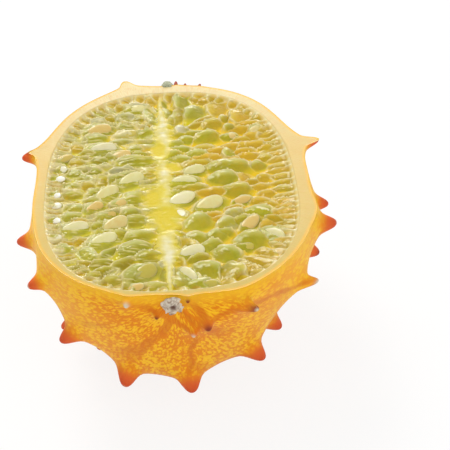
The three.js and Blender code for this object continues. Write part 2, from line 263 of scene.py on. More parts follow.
# %% Horns over the body
FLARE_SHARE = 0.58       # of a horn's length
FLARE_SPREAD = 5.8
TIP_RADIUS = 1.0         # how round the very tip is
CONE_RADIUS = 1.85       # where the blunt cone is steepest
CONE_POWER = 2.8
BLUSH_RADIUS = 2.3


def skin_over(points, normals):
    """The skin outside points of the body, and how near a horn's tip each one is, from 0 to 1."""
    skin = points.copy()
    highest = np.zeros(len(points))
    for root, length, size, side, lean, red in zip(
            horn_roots, horn_lengths, horn_sizes, horn_sides, horn_leans, horn_reds):
        distance = np.linalg.norm(points - root, axis=1) / size
        cone = np.exp(-(distance / CONE_RADIUS) ** CONE_POWER)
        flare = np.exp((TIP_RADIUS - np.hypot(distance, TIP_RADIUS)) / FLARE_SPREAD)
        height = FLARE_SHARE * flare + (1 - FLARE_SHARE) * cone
        skin += normals * (length * height)[:, None] + side * (lean * cone)[:, None]
        highest = np.maximum(highest, red * np.exp(-(distance / BLUSH_RADIUS) ** 2))
    return skin, highest


horn_tips = skin_over(horn_roots, horn_normals)[0]
print("lowest tip, mm below the cut:", round(float(-horn_tips[:, 2].min()), 1))

# %% [markdown]
# A fine even net of points would still be too coarse for the tips of the horns. So each horn gets
# its own rings of points, an even spiral fills the rest, and the rim gets a close row of points
# exactly in the plane of the cut. Seen from above, all of them lie inside a disc, where a Delaunay
# net joins neighbours to triangles.

# %% Points for the skin
SPIRAL_COUNT = 56000     # over a whole ball, so half of them are below the cut
RIM_COUNT = 1200
HORN_RING_RADII = (0.2, 0.45, 0.75, 1.05, 1.35, 1.7, 2.05, 2.45, 3.0, 3.7, 4.6, 5.5)
RING_PITCH = 0.45        # between points on a ring
CLEAR_OF_RINGS = 0.3     # no other point this close outside a horn's last ring
CLEAR_OF_RIM = 0.006     # sine of the angle below the cut that stays free


def even_directions(count):
    """Directions spread evenly over a ball along a spiral."""
    i = np.arange(count)
    height = 1 - 2 * (i + 0.5) / count
    ring = np.sqrt(1 - height ** 2)
    golden = math.pi * (3 - math.sqrt(5))
    return np.stack([ring * np.cos(golden * i), ring * np.sin(golden * i), height], 1)


def nearest_horn(points):
    """For each point, the number of the nearest horn and the distance to its root."""
    apart = np.linalg.norm(points[:, None] - horn_roots[None], axis=2)
    return apart.argmin(1), apart.min(1)


def skin_directions():
    """Directions for the skin; the last RIM_COUNT of them are the rim in order."""
    spiral = even_directions(SPIRAL_COUNT)
    spiral = spiral[spiral[:, 2] < -CLEAR_OF_RIM]
    nearest, apart = nearest_horn(surface_at(spiral, BODY)[0])
    spiral = spiral[apart > HORN_RING_RADII[-1] * horn_sizes[nearest] + CLEAR_OF_RINGS]
    rings = [horn_ways]
    ups = np.cross(horn_normals, horn_sides)
    for index in range(len(HORNS)):
        for radius in HORN_RING_RADII:
            count = max(6, round(2 * math.pi * radius / RING_PITCH))
            turn = 2 * math.pi * (np.arange(count) + radius) / count
            radius = radius * horn_sizes[index]
            ring = unit(horn_roots[index] + radius * (
                np.cos(turn)[:, None] * horn_sides[index] + np.sin(turn)[:, None] * ups[index]))
            owner = nearest_horn(surface_at(ring, BODY)[0])[0]
            rings.append(ring[owner == index])
    rings = np.concatenate(rings)
    rings = rings[rings[:, 2] < -CLEAR_OF_RIM]
    rim = directions_at(np.arange(RIM_COUNT) * 360 / RIM_COUNT, np.zeros(RIM_COUNT))
    return np.concatenate([spiral, rings, rim])


def on_disc(directions):
    """The lower half of a ball laid flat on a disc without changing areas."""
    spread = np.sqrt(1 + directions[:, 2]) / np.maximum(np.hypot(*directions[:, :2].T), 1e-9)
    return directions[:, :2] * spread[:, None]


skin_ways = skin_directions()
skin_net = delaunay_2d_cdt([tuple(p) for p in on_disc(skin_ways).tolist()], [], [], 0, 1e-9)[2]
print("skin points:", len(skin_ways), "triangles:", len(skin_net))

# %% [markdown]
# ## What the skin knows about itself
#
# On the real skin orange lines run from horn to horn and out from the blossom scar, and golden
# specks fill the panels between them. The lines are a network that joins each horn to its
# neighbours; they are whole and broad near the scar, and come and go farther from it. The specks
# are drawn out along the fruit, so they are given their own grain: a direction round the fruit's
# long axis, and the distance along it.

# %% Noise, and which horns are neighbours
LONGEST_LINE = 27.0      # mm, between two horns that a line joins


def wrinkles(points, pitch):
    """Slow noise from -1 to 1 at points in millimetres."""
    return np.array([noise.noise(Vector(p)) for p in (points / pitch).tolist()])


def wander(points, pitch, amount):
    """A slow, smooth shift of points, so that lines drawn from them aren't straight."""
    x, y, z = (points / pitch).T
    return amount * np.stack([
        np.sin(2.1 * y + 1.3) + np.sin(3.3 * z + 0.7 * x),
        np.sin(1.9 * z + 2.9) + np.sin(2.7 * x + 0.9 * y),
        np.sin(2.3 * x + 0.4) + np.sin(3.1 * y + 0.8 * z),
    ], 1)


def neighbouring_pairs(points):
    """Pairs with no third point inside the ball that has them at its two ends."""
    pairs = []
    for i in range(len(points)):
        for j in range(i):
            centre, reach = (points[i] + points[j]) / 2, np.linalg.norm(points[i] - points[j]) / 2
            apart = np.linalg.norm(points - centre, axis=1)
            apart[[i, j]] = np.inf
            if reach < LONGEST_LINE / 2 and apart.min() > reach:
                pairs.append((i, j))
    return pairs


print("horns joined by a line:", len(neighbouring_pairs(horn_roots)), "pairs")

# %% Orange lines
SCAR_WAY = unit(np.array([-1.0, -BODY["blossom"], -3.0]))
scar_place = surface_at(SCAR_WAY[None], BODY)[0]
LINE_HALF_WIDTH = 0.45
LINE_WANDER = (6.0, 0.5)           # pitch and size of its bends
BROADER_BY_SCAR = 0.7
WHOLE_WITHIN = 40.0                # mm from the scar, where lines aren't broken
BREAK_PITCH = 6.0                  # mm, between breaks elsewhere
STREAKS_AROUND = 3.6               # more of it gives more streaks round the scar
STREAK_LENGTH = 27.0


def off_and_inside(points, first, second):
    """Distance to the line that joins two horns, and how far inside its ends, from 0 to 1."""
    a, b, ways = unit(first), unit(second), unit(points)
    across = unit(np.cross(a, b))
    off = np.abs(np.arcsin(np.clip(ways @ across, -1, 1)))
    share = np.arctan2(np.cross(a, ways) @ across, ways @ a) / math.acos(float(a @ b))
    return off, np.clip(np.minimum(share, 1 - share) * 8 + 1, 0, 1)


def line_strength(points):
    """How strongly an orange line runs through each point of the body, from 0 to 1."""
    from_scar = points - scar_place
    away = np.hypot(from_scar[:, 0], from_scar[:, 2])
    blossom_half = points[:, 1] < 0
    whole = np.where(blossom_half, 0.95 * np.exp(-(away / WHOLE_WITHIN) ** 4), 0)
    half_width = LINE_HALF_WIDTH * (1 + BROADER_BY_SCAR * whole)
    bent = points + wander(points, *LINE_WANDER)
    reach = np.linalg.norm(points, axis=1)
    strength = np.zeros(len(points))
    for i, j in neighbouring_pairs(horn_roots):
        off, inside = off_and_inside(bent, horn_roots[i], horn_roots[j])
        strength = np.maximum(strength, inside * np.exp(-(off * reach / half_width) ** 2 / 2))
    broken = np.clip(0.5 + 1.3 * wrinkles(points + 15, BREAK_PITCH), 0.12, 0.9)
    around = from_scar / np.maximum(away, 0.1)[:, None] * [1, 0, 1] * STREAKS_AROUND
    around = around + np.outer(away, [0, 0.06, 0])
    streaks = np.clip(3 * wrinkles(around, 1.0), 0, 1) * np.exp(-(away / STREAK_LENGTH) ** 2)
    return np.maximum(strength * np.maximum(whole, broken), np.where(blossom_half, streaks, 0))


print("blossom scar, mm from the middle:", scar_place.round(1).tolist())

# %% Dry tips, golden sides with painted rim light, and the grain of the specks
DRY_TIPS = {6: 0.45, 7: 0.7, 11: 0.5, 12: 0.45, 17: 0.5, 19: 0.8, 29: 0.5}      # horn, mm across
DARK_TIPS = {3: 0.7, 4: 0.9, 5: 0.8, 8: 0.5, 9: 0.5, 10: 0.8, 12: 1.0, 26: 1.0}
GOLDEN_FROM, GOLDEN_OVER = 14, 22  # mm from the scar, where the golden sides with painted rim light start, and the change's width
LOW_FROM, LOW_OVER = 12, 14        # mm below the cut, where they end
GRAIN_RADIUS = 14                  # mm, for directions round the fruit, at its long axis
GRAIN_DRAWN = 2.5                  # times longer than wide
GRAIN_START = 14.0                 # mm, round the scar, where specks aren't drawn out


def near_tips(points, tips):
    """From 0 to 1 at the tips of the listed horns."""
    nearness = np.zeros(len(points))
    for index, size in tips.items():
        distance = np.linalg.norm(points - horn_roots[index], axis=1)
        nearness = np.maximum(nearness, np.exp(-(distance / size) ** 4))
    return nearness


def golden_rim_lit_share(points):
    """Where the skin is lighter and more golden, partly its own colour and partly painted rim light: high on
    the sides, away from the scar.
    """
    from_scar = np.linalg.norm(points - scar_place, axis=1)
    low = np.clip((-points[:, 2] - LOW_FROM) / LOW_OVER, 0, 1)
    return np.clip((from_scar - GOLDEN_FROM) / GOLDEN_OVER, 0, 1) * (1 - 0.7 * low)


def grain_of(points):
    """Coordinates in millimetres that run slower away from the scar than round the fruit's long axis."""
    ring = unit(np.stack([points[:, 0], 0 * points[:, 0], points[:, 2]], 1))
    turned = ring * (GRAIN_RADIUS + 0.5 * np.hypot(points[:, 0], points[:, 2]))[:, None]
    from_scar = np.linalg.norm(points - [-1, -BODY["blossom"], -3], axis=1)
    turned[:, 1] = from_scar / GRAIN_DRAWN - GRAIN_DRAWN * np.minimum(from_scar, GRAIN_START) / GRAIN_START
    return turned


print("dry tips:", len(DRY_TIPS), "and dark tips:", len(DARK_TIPS))

# %% [markdown]
# ## The skin's material
#
# Ripe skin is waxy and satin, not glossy: light sinks in a little and comes back golden. The
# specks are half a millimetre to a millimetre across. The horns redden towards their tips.

# %% Waxy skin
SPECK = 0.8              # mm, between golden specks
PATCH = 7.0              # mm, across a patch with more or fewer specks


def waxy_skin():
    """Ripe skin under its own wax: soft wide highlights, and a warm glow where light sinks in."""
    material, tree = new_material("ripe_waxy_skin")
    place = add(tree, "ShaderNodeTexCoord").outputs["Object"]
    grain = add(tree, "ShaderNodeAttribute", attribute_name="grain").outputs["Vector"]
    line, horn, dry_tip, dark_tip, below_cut, golden_rim_lit = (
        add(tree, "ShaderNodeAttribute", attribute_name=fact).outputs["Fac"]
        for fact in ("line", "horn", "dry_tip", "dark_tip", "below_cut", "golden_rim_lit"))
    specks = add(tree, "ShaderNodeTexNoise", {
        "Vector": grain, "Scale": 1 / SPECK, "Detail": 2.0, "Roughness": 0.6, "Distortion": 0.6})
    dots = add(tree, "ShaderNodeTexVoronoi", {"Vector": grain, "Scale": 1 / SPECK})
    patches = add(tree, "ShaderNodeTexNoise", {"Vector": place, "Scale": 1 / (PATCH * MM), "Detail": 2.0})
    amount = specks.outputs["Fac"]
    for part, share in ((patches.outputs["Fac"], 0.5), (dots.outputs["Distance"], -0.5)):
        added = add(tree, "ShaderNodeMath", {0: part, 1: share, 2: amount}, operation="MULTIPLY_ADD")
        amount = added.outputs[0]
    golden = add(tree, "ShaderNodeValToRGB", {"Fac": amount}, [(0.42, 0.0), (0.62, 1.0)])
    broken = add(tree, "ShaderNodeMath", {0: line, 1: patches.outputs["Fac"]}, operation="MULTIPLY")
    lined = add(tree, "ShaderNodeValToRGB", {"Fac": broken.outputs[0]}, [(0.12, 0.0), (0.35, 0.75)])
    # yellow near the cut: the skin's own yellow line there, widened to 3.8 mm by painted rim light
    edge = add(tree, "ShaderNodeMapRange", {
        "Value": below_cut, "From Min": 0.3, "From Max": 3.8, "To Min": 0.9, "To Max": 0.0})
    blush = add(tree, "ShaderNodeValToRGB", {"Fac": horn}, [
        (0.0, "#ec961c"), (0.3, "#e88324"), (0.65, "#dd652e"), (1.0, "#ca4c2a")])
    redness = add(tree, "ShaderNodeMapRange", {"Value": horn, "From Min": 0.05, "From Max": 0.55})
    # from the orange ground up, each layer covers its share of what is under it
    shade = colour("#e8860c")
    for share, over in (
            # golden sides: partly the skin's own colour, partly painted rim light
            (golden_rim_lit, colour("#f5a81e")),
            (golden.outputs["Color"], colour("#fcc420")),
            (lined.outputs["Color"], colour("#da7312")),
            # the skin's yellow line at the cut, partly painted rim light
            (edge.outputs[0], colour("#f6bf26")),
            (redness.outputs[0], blush.outputs["Color"]),
            (dark_tip, colour("#8f3f26")),
            (dry_tip, colour("#d8ccb8"))):
        shade = add(tree, "ShaderNodeMix", {"Factor": share, 6: shade, 7: over}, data_type="RGBA").outputs[2]
    surface = add(tree, "ShaderNodeBsdfPrincipled", {
        "Base Color": shade, "Roughness": 0.48, "IOR": 1.4, "Specular IOR Level": 0.15,
        "Subsurface Weight": 0.2, "Subsurface Radius": (1.0, 0.45, 0.1), "Subsurface Scale": 1.2 * MM,
        "Coat Weight": 0.05, "Coat Roughness": 0.3})
    end_with(tree, surface, specks.outputs["Fac"], 0.2 * MM)
    return material


skin_material = waxy_skin()
print("nodes in the skin's material:", len(skin_material.node_tree.nodes))

# %% [markdown]
# ## The flesh of the wall
#
# The wall under the skin is pale, firm flesh, about 3 mm thick, wet from the knife. Fine fibres
# run across it from the pulp to the skin, and it yellows in the last millimetre under the skin.

# %% Pale flesh
FIBRE = 0.35             # mm, between fibres
MOTTLE = 4.0             # mm, across a slightly paler patch
WALL_ENDS = (-55, 50)    # mm along the fruit, between which the wall gets paler


def pale_flesh():
    """Firm flesh fresh from the knife: a thin wet sheen over a pale body that lets in some light."""
    material, tree = new_material("pale_wall_flesh")
    place = add(tree, "ShaderNodeTexCoord").outputs["Object"]
    fibre_place = add(tree, "ShaderNodeAttribute", attribute_name="fibre").outputs["Vector"]
    depth = add(tree, "ShaderNodeAttribute", attribute_name="under_skin").outputs["Fac"]
    fibres = add(tree, "ShaderNodeTexNoise", {
        "Vector": fibre_place, "Scale": 1 / FIBRE, "Detail": 2.0, "Roughness": 0.6})
    mottle = add(tree, "ShaderNodeTexNoise", {"Vector": place, "Scale": 1 / (MOTTLE * MM), "Detail": 3.0})
    base = add(tree, "ShaderNodeValToRGB", {"Fac": mottle.outputs["Fac"]}, [
        (0.3, "#dab65e"), (0.5, "#dfbd66"), (0.7, "#e0c679")])
    parts = add(tree, "ShaderNodeSeparateXYZ", {"Vector": place})
    to_stem = add(tree, "ShaderNodeMapRange", {
        "Value": parts.outputs["Y"], "From Min": WALL_ENDS[0] * MM, "From Max": WALL_ENDS[1] * MM})
    lengthwise = add(tree, "ShaderNodeValToRGB", {"Fac": to_stem.outputs[0]}, [
        (0.0, "#cab45a"), (0.35, "#d9ba62"), (0.6, "#dcbb66"), (1.0, "#e9daaa")])
    streak = add(tree, "ShaderNodeMapRange", {
        "Value": fibres.outputs["Fac"], "From Min": 0.5, "From Max": 0.75, "To Max": 0.45})
    near_skin = add(tree, "ShaderNodeMapRange", {
        "Value": depth, "From Min": 0.1, "From Max": 1.1, "To Min": 1.0, "To Max": 0.0})
    shade = base.outputs["Color"]
    for share, over in (
            (0.65, lengthwise.outputs["Color"]),
            (streak.outputs[0], colour("#dfae5c")),
            (near_skin.outputs[0], colour("#f2b92c"))):
        shade = add(tree, "ShaderNodeMix", {"Factor": share, 6: shade, 7: over}, data_type="RGBA").outputs[2]
    surface = add(tree, "ShaderNodeBsdfPrincipled", {
        "Base Color": shade, "Roughness": 0.35, "IOR": 1.38, "Specular IOR Level": 0.36,
        "Subsurface Weight": 0.4, "Subsurface Radius": (1.0, 0.7, 0.35), "Subsurface Scale": 2 * MM,
        "Coat Weight": 0.1, "Coat Roughness": 0.15})
    end_with(tree, surface, fibres.outputs["Fac"], 0.1 * MM)
    return material


flesh_material = pale_flesh()
print("nodes in the flesh's material:", len(flesh_material.node_tree.nodes))

# %% [markdown]
# ## The rind
#
# Skin and wall grew as one, so they are one closed mesh: the skin outside, a flat ring where the
# knife went through, and the smooth hollow inside.

# %% Rows of points from the rim into the hollow
RING_ROWS = 10           # of faces between the skin and the hollow
HOLLOW_DOWN = (1.5, 4, 8, 15, 28, 45, 65, 82)      # degrees


def ring_faces(first, second):
    """Faces that join two closed rows of points with as many points each."""
    following = np.roll(first, -1), np.roll(second, -1)
    return np.stack([first, following[0], following[1], second], 1)


body_points, body_normals = surface_at(skin_ways, BODY)
skin_points, skin_horn = skin_over(body_points, body_normals)
skin_points[:, 2] = np.maximum(skin_points[:, 2], -FOOT_HEIGHT)
skin_points[-RIM_COUNT:, 2] = 0
rim = skin_points[-RIM_COUNT:]
rim_angles = np.arange(RIM_COUNT) * 360 / RIM_COUNT
hollow_rim = surface_at(directions_at(rim_angles, 0 * rim_angles), CAVITY)[0]
inner_rows = [rim + (hollow_rim - rim) * step / RING_ROWS for step in range(1, RING_ROWS + 1)]
inner_rows += [
    surface_at(directions_at(rim_angles, 0 * rim_angles + down), CAVITY)[0] for down in HOLLOW_DOWN]
rind_points = np.concatenate([skin_points, *inner_rows, [[0, 0, -CAVITY["down"]]]])
print("rind points:", len(rind_points))

# %% Build the rind
SKIN, FLESH = 0, 1
DEEP = 9.0               # mm under the skin, for everything inside the hollow
FIBRE_ROUND, FIBRE_ALONG = 45, 1 / 8     # fibres are fine round the fruit and long across the wall

rows = [np.arange(RIM_COUNT) + len(skin_points) + RIM_COUNT * row for row in range(-1, len(inner_rows))]
rind_faces = [tuple(f) for f in skin_net]
rind_faces += [tuple(q) for first, second in zip(rows, rows[1:]) for q in ring_faces(first, second)]
rind_faces += [(a, b, len(rind_points) - 1) for a, b in zip(rows[-1], np.roll(rows[-1], -1))]
rind_finish = [SKIN] * len(skin_net) + [FLESH] * (len(rind_faces) - len(skin_net))
flesh_zeros = np.zeros(len(rind_points) - len(skin_points))
under = np.concatenate([np.zeros(len(skin_points)), flesh_zeros + DEEP])
for row in rows[:RING_ROWS + 1]:
    under[row] = np.linalg.norm(rind_points[row] - rim, axis=1)
around = np.arctan2(rind_points[:, 1], rind_points[:, 0])
rind_facts = {fact: np.concatenate([values, flesh_zeros]) for fact, values in {
    "line": line_strength(body_points),
    "horn": skin_horn,
    "dry_tip": near_tips(body_points, DRY_TIPS),
    "dark_tip": near_tips(body_points, DARK_TIPS),
}.items()}
rind_facts |= {
    "grain": grain_of(rind_points),
    "below_cut": -rind_points[:, 2],
    # golden sides, partly painted rim light
    "golden_rim_lit": golden_rim_lit_share(rind_points),
    "under_skin": under,
    "fibre": np.stack([np.cos(around) * FIBRE_ROUND, np.sin(around) * FIBRE_ROUND,
                       np.linalg.norm(rind_points, axis=1) * FIBRE_ALONG], 1),
}
rind = make_piece(
    "rind_skin_and_wall", rind_points, rind_faces, [skin_material, flesh_material], rind_facts,
    rind_finish)
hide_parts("rind")

# %% [markdown]
# ## The bed of pulp
#
# Everything between the sacs is a bed of small sacs and thin membranes. They point from the pale
# core to the wall, because each one hangs from the core by its seed. The sacs that show best are
# listed one by one, and the same list shapes the solid.

# %% The juice sacs
CORE_OFFSET = -1.6       # mm, of the core from the fruit's middle
PULP_LEVEL = -1.9        # mm, of the hollows between the sacs
CORE_ENDS = (-18.0, 34.0)          # mm along the fruit; the sacs fan out beyond these
SACS = [  # across, along, length, width, degrees turned from +X, rise, ripeness from 0 pale to 1 amber
    # left of the core, from the stem end
    (-9, 50.5, 9, 3.5, 0, 1.6, 0.15), (-4.5, 54, 5, 4, 0, 1.0, 0.85),
    (-12, 45.5, 6.5, 3.5, 5, 1.5, 0.1), (-8, 44, 4, 3, -20, 1.2, 0.6),
    (-16.5, 44.5, 3.5, 3, -10, 1.2, 0.7), (-20, 38.5, 9.5, 4.5, 5, 1.8, 0.3),
    (-12, 38.8, 5, 3.5, 20, 1.5, 0.25), (-5, 38.8, 4, 3, 0, 1.3, 0.7), (-11.5, 34.3, 7, 4, 5, 1.8, 0.4),
    (-6, 35, 5.5, 5, 0, 1.6, 0.35), (-20.5, 33.2, 7, 4, 0, 1.7, 0.3),
    (-13.5, 30.3, 8, 2.5, 5, 1.4, 0.15), (-9.5, 26, 4, 3, 0, 1.4, 0.4), (-8, 23, 4.5, 3, 0, 1.4, 0.35),
    (-16, 22, 4, 3, 0, 1.3, 0.3), (-19.5, 20.5, 5, 3, 0, 1.4, 0.3), (-9, 18.5, 12, 5.5, 0, 2.0, 0.42),
    (-18.5, 17.5, 5, 2.5, 0, 1.2, 0.25), (-5.5, 12, 5.5, 4, 0, 1.4, 0.55),
    (-18.5, 9.5, 4, 5, 10, 1.3, 0.7), (-20.5, 14.5, 4, 3, 10, 1.3, 0.35),
    (-22.5, 7, 4, 3, 10, 1.2, 0.8), (-23.5, 11, 5.5, 4, -30, 1.4, 0.3), (-13, 14, 8, 2.6, 3, 1.7, 0.05),
    (-13, 10.8, 10, 3.6, 22, 1.6, 0.2), (-9.5, -1.5, 8, 6.5, 10, 2.0, 0.4),
    (-21, -1, 5, 2.5, 0, 1.2, 0.5), (-25.5, -4.5, 6.5, 3.5, -5, 1.4, 0.25),
    (-26.5, -8.5, 6, 3.5, 20, 1.4, 0.3), (-24.5, -10.8, 5, 2, 0, 1.0, 0.85),
    (-11, -8.5, 6, 3.5, 10, 1.5, 0.4), (-20.5, 3, 5, 3, 40, 1.5, 0.35), (-26.5, 2.5, 6, 3, 0, 1.3, 0.5),
    (-27, 7, 5, 3, -10, 1.2, 0.45), (-26, 14, 5, 3.5, -20, 1.2, 0.4), (-25.5, 19.5, 5, 3, 0, 1.2, 0.75),
    (-29, 22, 5, 4, 0, 1.2, 0.9), (-9.5, -12.5, 8.5, 4.5, 15, 1.8, 0.45),
    (-8.5, -20.5, 8.5, 4.5, 10, 2.1, 0.35), (-14, -18.5, 5, 4.5, 20, 1.6, 0.45),
    (-19.5, -13.5, 5, 3, 30, 1.4, 0.4), (-10, -26, 9.5, 6, 15, 2.2, 0.3),
    (-6, -30, 8.5, 4.5, 5, 1.8, 0.55), (-16.5, -26.8, 6, 2.4, 40, 1.5, 0.4),
    (-13, -32.5, 7.5, 3.5, 35, 1.8, 0.6), (-8.5, -37.5, 11, 7, 38, 2.3, 0.4),
    (-20, -37.8, 4.5, 4, 20, 1.5, 0.65), (-15.5, -40, 5.5, 4.5, 15, 1.5, 0.6),
    (-22.8, -35.3, 3.5, 2.5, 20, 1.2, 0.6), (-5, -44, 8, 4.5, 5, 1.5, 0.55),
    (-18.5, -31.5, 7, 3, 10, 1.5, 0.55), (-17.5, -35, 6, 3, 10, 1.4, 0.65),
    (-22.5, -31, 5, 2.5, 0, 1.1, 0.7), (-27.5, -21.5, 4.5, 2.5, 5, 1.1, 0.9),
    (-24, -20.5, 4.5, 3, 10, 1.2, 0.75), (-22, 25.5, 7, 2.2, 2, 1.2, 0.5),
    (-26, 28, 4, 3.5, 10, 1.2, 0.8), (-26.5, 40.5, 3, 5, 0, 1.1, 0.9), (-14, 51, 3, 2.5, 0, 1.0, 0.85),
    (-20, 43, 6, 3, 20, 1.4, 0.08),
    # the core's froth
    (-1, -28, 5, 4.5, 80, 1.8, 0.0), (-2, -33, 5, 3, 30, 1.5, 0.0), (3, -28.5, 8, 3.5, 12, 1.6, 0.05),
    # right of the core, from the stem end
    (4.5, 52.3, 9, 5, 85, 2.1, 0.35), (8, 45, 9, 6, 60, 2.2, 0.22), (15, 47, 9, 6.5, 80, 1.3, 0.8),
    (11, 52.5, 8, 3.5, -20, 1.1, 0.85), (21.5, 41.5, 9, 7, 80, 2.0, 0.72),
    (13, 37.5, 7, 5.5, 20, 1.9, 0.6), (27, 33, 7, 4, 80, 1.8, 0.8), (4.5, 35.5, 5, 5, 70, 1.7, 0.06),
    (5, 29.5, 5.5, 3.5, 0, 1.6, 0.3), (11, 30, 8.5, 6.5, 20, 2.2, 0.4), (24, 29.5, 6, 4, 0, 1.4, 0.95),
    (17, 41, 4, 3.5, 60, 1.5, 0.5), (18, 35.3, 4.5, 3.5, 50, 1.7, 0.45), (21, 24, 4.5, 4, 0, 1.4, 0.8),
    (27.5, 22, 4.5, 4, 0, 1.4, 0.85), (17, 20.3, 5.5, 4.6, 80, 2.1, 0.3), (8, 21, 7, 4, -10, 1.6, 0.3),
    (12.5, 18, 5, 3.5, 20, 1.4, 0.75), (22, 18.5, 6.5, 3.5, 0, 1.4, 0.85),
    (27, 16.5, 5, 3, 0, 1.2, 0.6), (16, 12.3, 14, 6.5, -5, 2.3, 0.35), (14.5, 6.2, 9, 6.5, 8, 2.4, 0.2),
    (20, 7, 5, 4, 80, 1.3, 0.95), (24.5, 13, 5, 4.5, 40, 1.4, 0.4), (17.5, -0.3, 9.5, 6, 0, 2.2, 0.45),
    (25.5, 6, 4.5, 3.5, 10, 1.3, 0.85), (25.5, -2.5, 5, 4, 10, 1.3, 0.8),
    (25.5, -8, 6, 2.8, 0, 1.2, 0.85), (5.5, 2.8, 9.5, 3.5, 0, 1.3, 0.55),
    (16.5, -11.8, 6.5, 4, 15, 2.0, 0.08), (14, -17, 7, 5.5, 35, 2.3, 0.05),
    (18, -15, 5, 4, 20, 1.7, 0.4), (6.5, -15.3, 9, 7, 30, 2.3, 0.3), (11, -22, 6.5, 5, 10, 1.9, 0.22),
    (13.5, -20.5, 5, 3, 0, 1.6, 0.2), (19.5, -25.5, 9.5, 7.5, 0, 2.4, 0.33),
    (9.5, -26.5, 6.5, 4.5, 20, 1.9, 0.3), (13, -31, 8.5, 6.5, -25, 2.3, 0.3),
    (8, -37.5, 9, 6, -25, 2.2, 0.35), (13.8, -38.5, 8, 7.5, -70, 2.2, 0.5),
    (6, -44.3, 8.5, 4.8, -5, 2.1, 0.35), (1.2, -42, 5, 6, 80, 1.6, 0.5), (6, -32, 6, 3, 15, 1.6, 0.5),
    (17, -44, 4, 3, -40, 1.2, 0.4), (24.5, -18, 5, 5, 30, 1.3, 0.9),
]
print("listed sacs:", len(SACS))


# %% [markdown]
# Between the listed sacs there are small ones. All sacs are cells of one net: a place belongs to
# the sac that it is nearest to, with distances counted in that sac's own length and width, so the
# sacs press on each other as the real ones do. One row of long cells stands against the wall all
# round.

# %% Places on the cut
rng = np.random.default_rng(7)


def ray_angle(x, y):
    """The way from the core to the wall at a place on the cut, in radians."""
    foot = np.clip(y, *CORE_ENDS)
    return np.arctan2(y - foot, np.where(np.abs(x - CORE_OFFSET) < 0.5, 0.5, x - CORE_OFFSET))


def inside_cut(x, y):
    """Above zero inside the hollow's outline at the cut; about the distance to it in millimetres."""
    along = np.where(y < 0, CAVITY["blossom"], CAVITY["stem"])
    full = (np.abs(x) / CAVITY["across"]) ** RIM_POWER + (np.abs(y) / along) ** RIM_POWER
    full = full ** (1 / RIM_POWER)
    return (1 - full) * np.hypot(x, y) / np.maximum(full, 1e-6)


def staggered_grid(pitch, row_pitch):
    """Points in rows that cover the cut face, every other row moved by half a step."""
    across, rows_up = np.arange(-36, 36, pitch), np.arange(-50, 60, row_pitch)
    x, y = np.meshgrid(across, rows_up)
    x = x + pitch / 2 * (np.arange(len(rows_up)) % 2)[:, None]
    return x.ravel(), y.ravel()


print("half the hollow's width at the cut, mm:", CAVITY["across"])

# %% The row against the wall
WALL_SAC = {  # length, width and rise
    "right": (7.5, 2.5, 0.8), "left": (5.5, 2.1, 0.7), "end": (4.6, 3.4, 0.9),
}
END_FROM = 36.0          # mm along the fruit, where the row turns round its end
INTO_EDGE = 0.6          # mm, by which a sac's end goes into the wall


def wall_row():
    """Cells against the wall, evenly spaced."""
    angles = np.arange(0, 360, 0.25)
    edge = surface_at(directions_at(angles, 0 * angles), CAVITY)[0][:, :2]
    ahead = np.roll(edge, -1, 0) - edge
    travelled = np.cumsum(np.hypot(*ahead.T))
    made = []
    reached = 0.0
    while reached < travelled[-1] - 2:
        place = np.searchsorted(travelled, reached)
        side = "end" if abs(edge[place, 1]) > END_FROM else "right" if edge[place, 0] > 0 else "left"
        inward = unit(np.array([-ahead[place, 1], ahead[place, 0]]))
        length, width, rise = WALL_SAC[side]
        reached += 1.2 * width * rng.uniform(0.85, 1.2)
        x, y = edge[place] + inward * (length / 2 - INTO_EDGE) + rng.normal(0, 0.25, 2)
        turn = math.degrees(math.atan2(-inward[1], -inward[0])) + rng.normal(0, 5)
        made.append((x, y, length * rng.uniform(0.85, 1.15), width * rng.uniform(0.85, 1.2), turn, rise,
                     rng.uniform(0.55, 1.0)))
    return made


wall_cells = wall_row()
print("sacs against the wall:", len(wall_cells))

# %% Small sacs between the others
SMALL_PITCH = (6.6, 3.1)           # mm, between small sacs across and along the fruit
SMALL_SAC = (8.0, 3.4, 1.3)        # length, width and rise
SCALES = (1.0, 0.7, 0.5)           # one size after another, each in the room that is left
LEFT_ONLY_BELOW = 0.6              # scale; smaller sacs than this lie only left of the core
ROOM = 1.25                        # from other sacs, counted as cell_distances does
LEFT_LONGER = 1.3                  # small sacs left of the core are slimmer


def cell_distances(x, y, cells):
    """Distances of places from every cell, where 1 is a cell's own outline."""
    cells = np.array(cells)
    turn = np.radians(cells[:, 4])
    dx, dy = x[:, None] - cells[:, 0], y[:, None] - cells[:, 1]
    along = (dx * np.cos(turn) + dy * np.sin(turn)) / (cells[:, 2] / 2)
    across = (dy * np.cos(turn) - dx * np.sin(turn)) / (cells[:, 3] / 2)
    outward = np.where(cells[:, 0] < CORE_OFFSET, -1, 1)
    return np.hypot(along, across * (1 - 0.2 * outward * np.clip(along, -1, 1)))


def small_cells(taken, scale):
    """Small sacs in the room that the others leave."""
    made = []
    for x, y in zip(*staggered_grid(*np.array(SMALL_PITCH) * scale)):
        x, y = x + rng.uniform(-1.2, 1.2) * scale, y + rng.uniform(-0.7, 0.7) * scale
        turn = math.degrees(float(ray_angle(x, y))) + rng.normal(0, 7)
        if scale < LEFT_ONLY_BELOW and x > CORE_OFFSET:
            continue
        if inside_cut(x, y) > 1 and cell_distances(np.array([x]), np.array([y]), taken).min() > ROOM:
            length, width, rise = np.array(SMALL_SAC) * scale * rng.uniform(0.75, 1.35, 3)
            if x < CORE_OFFSET:
                length = length * LEFT_LONGER
            made.append((x, y, length, width, turn, rise, rng.uniform(0.3, 0.7) + (0.3 if x > 8 else 0)))
    return made


# %% Every sac, with one for each seed
SEED_COUNT = 39
POUCH_LONG, POUCH_WIDE = 2.7, 3.0  # a seed's own sac, in halves of the seed's length and width
POUCH_RISE_AND_RIPENESS = (1.5, 0.3)


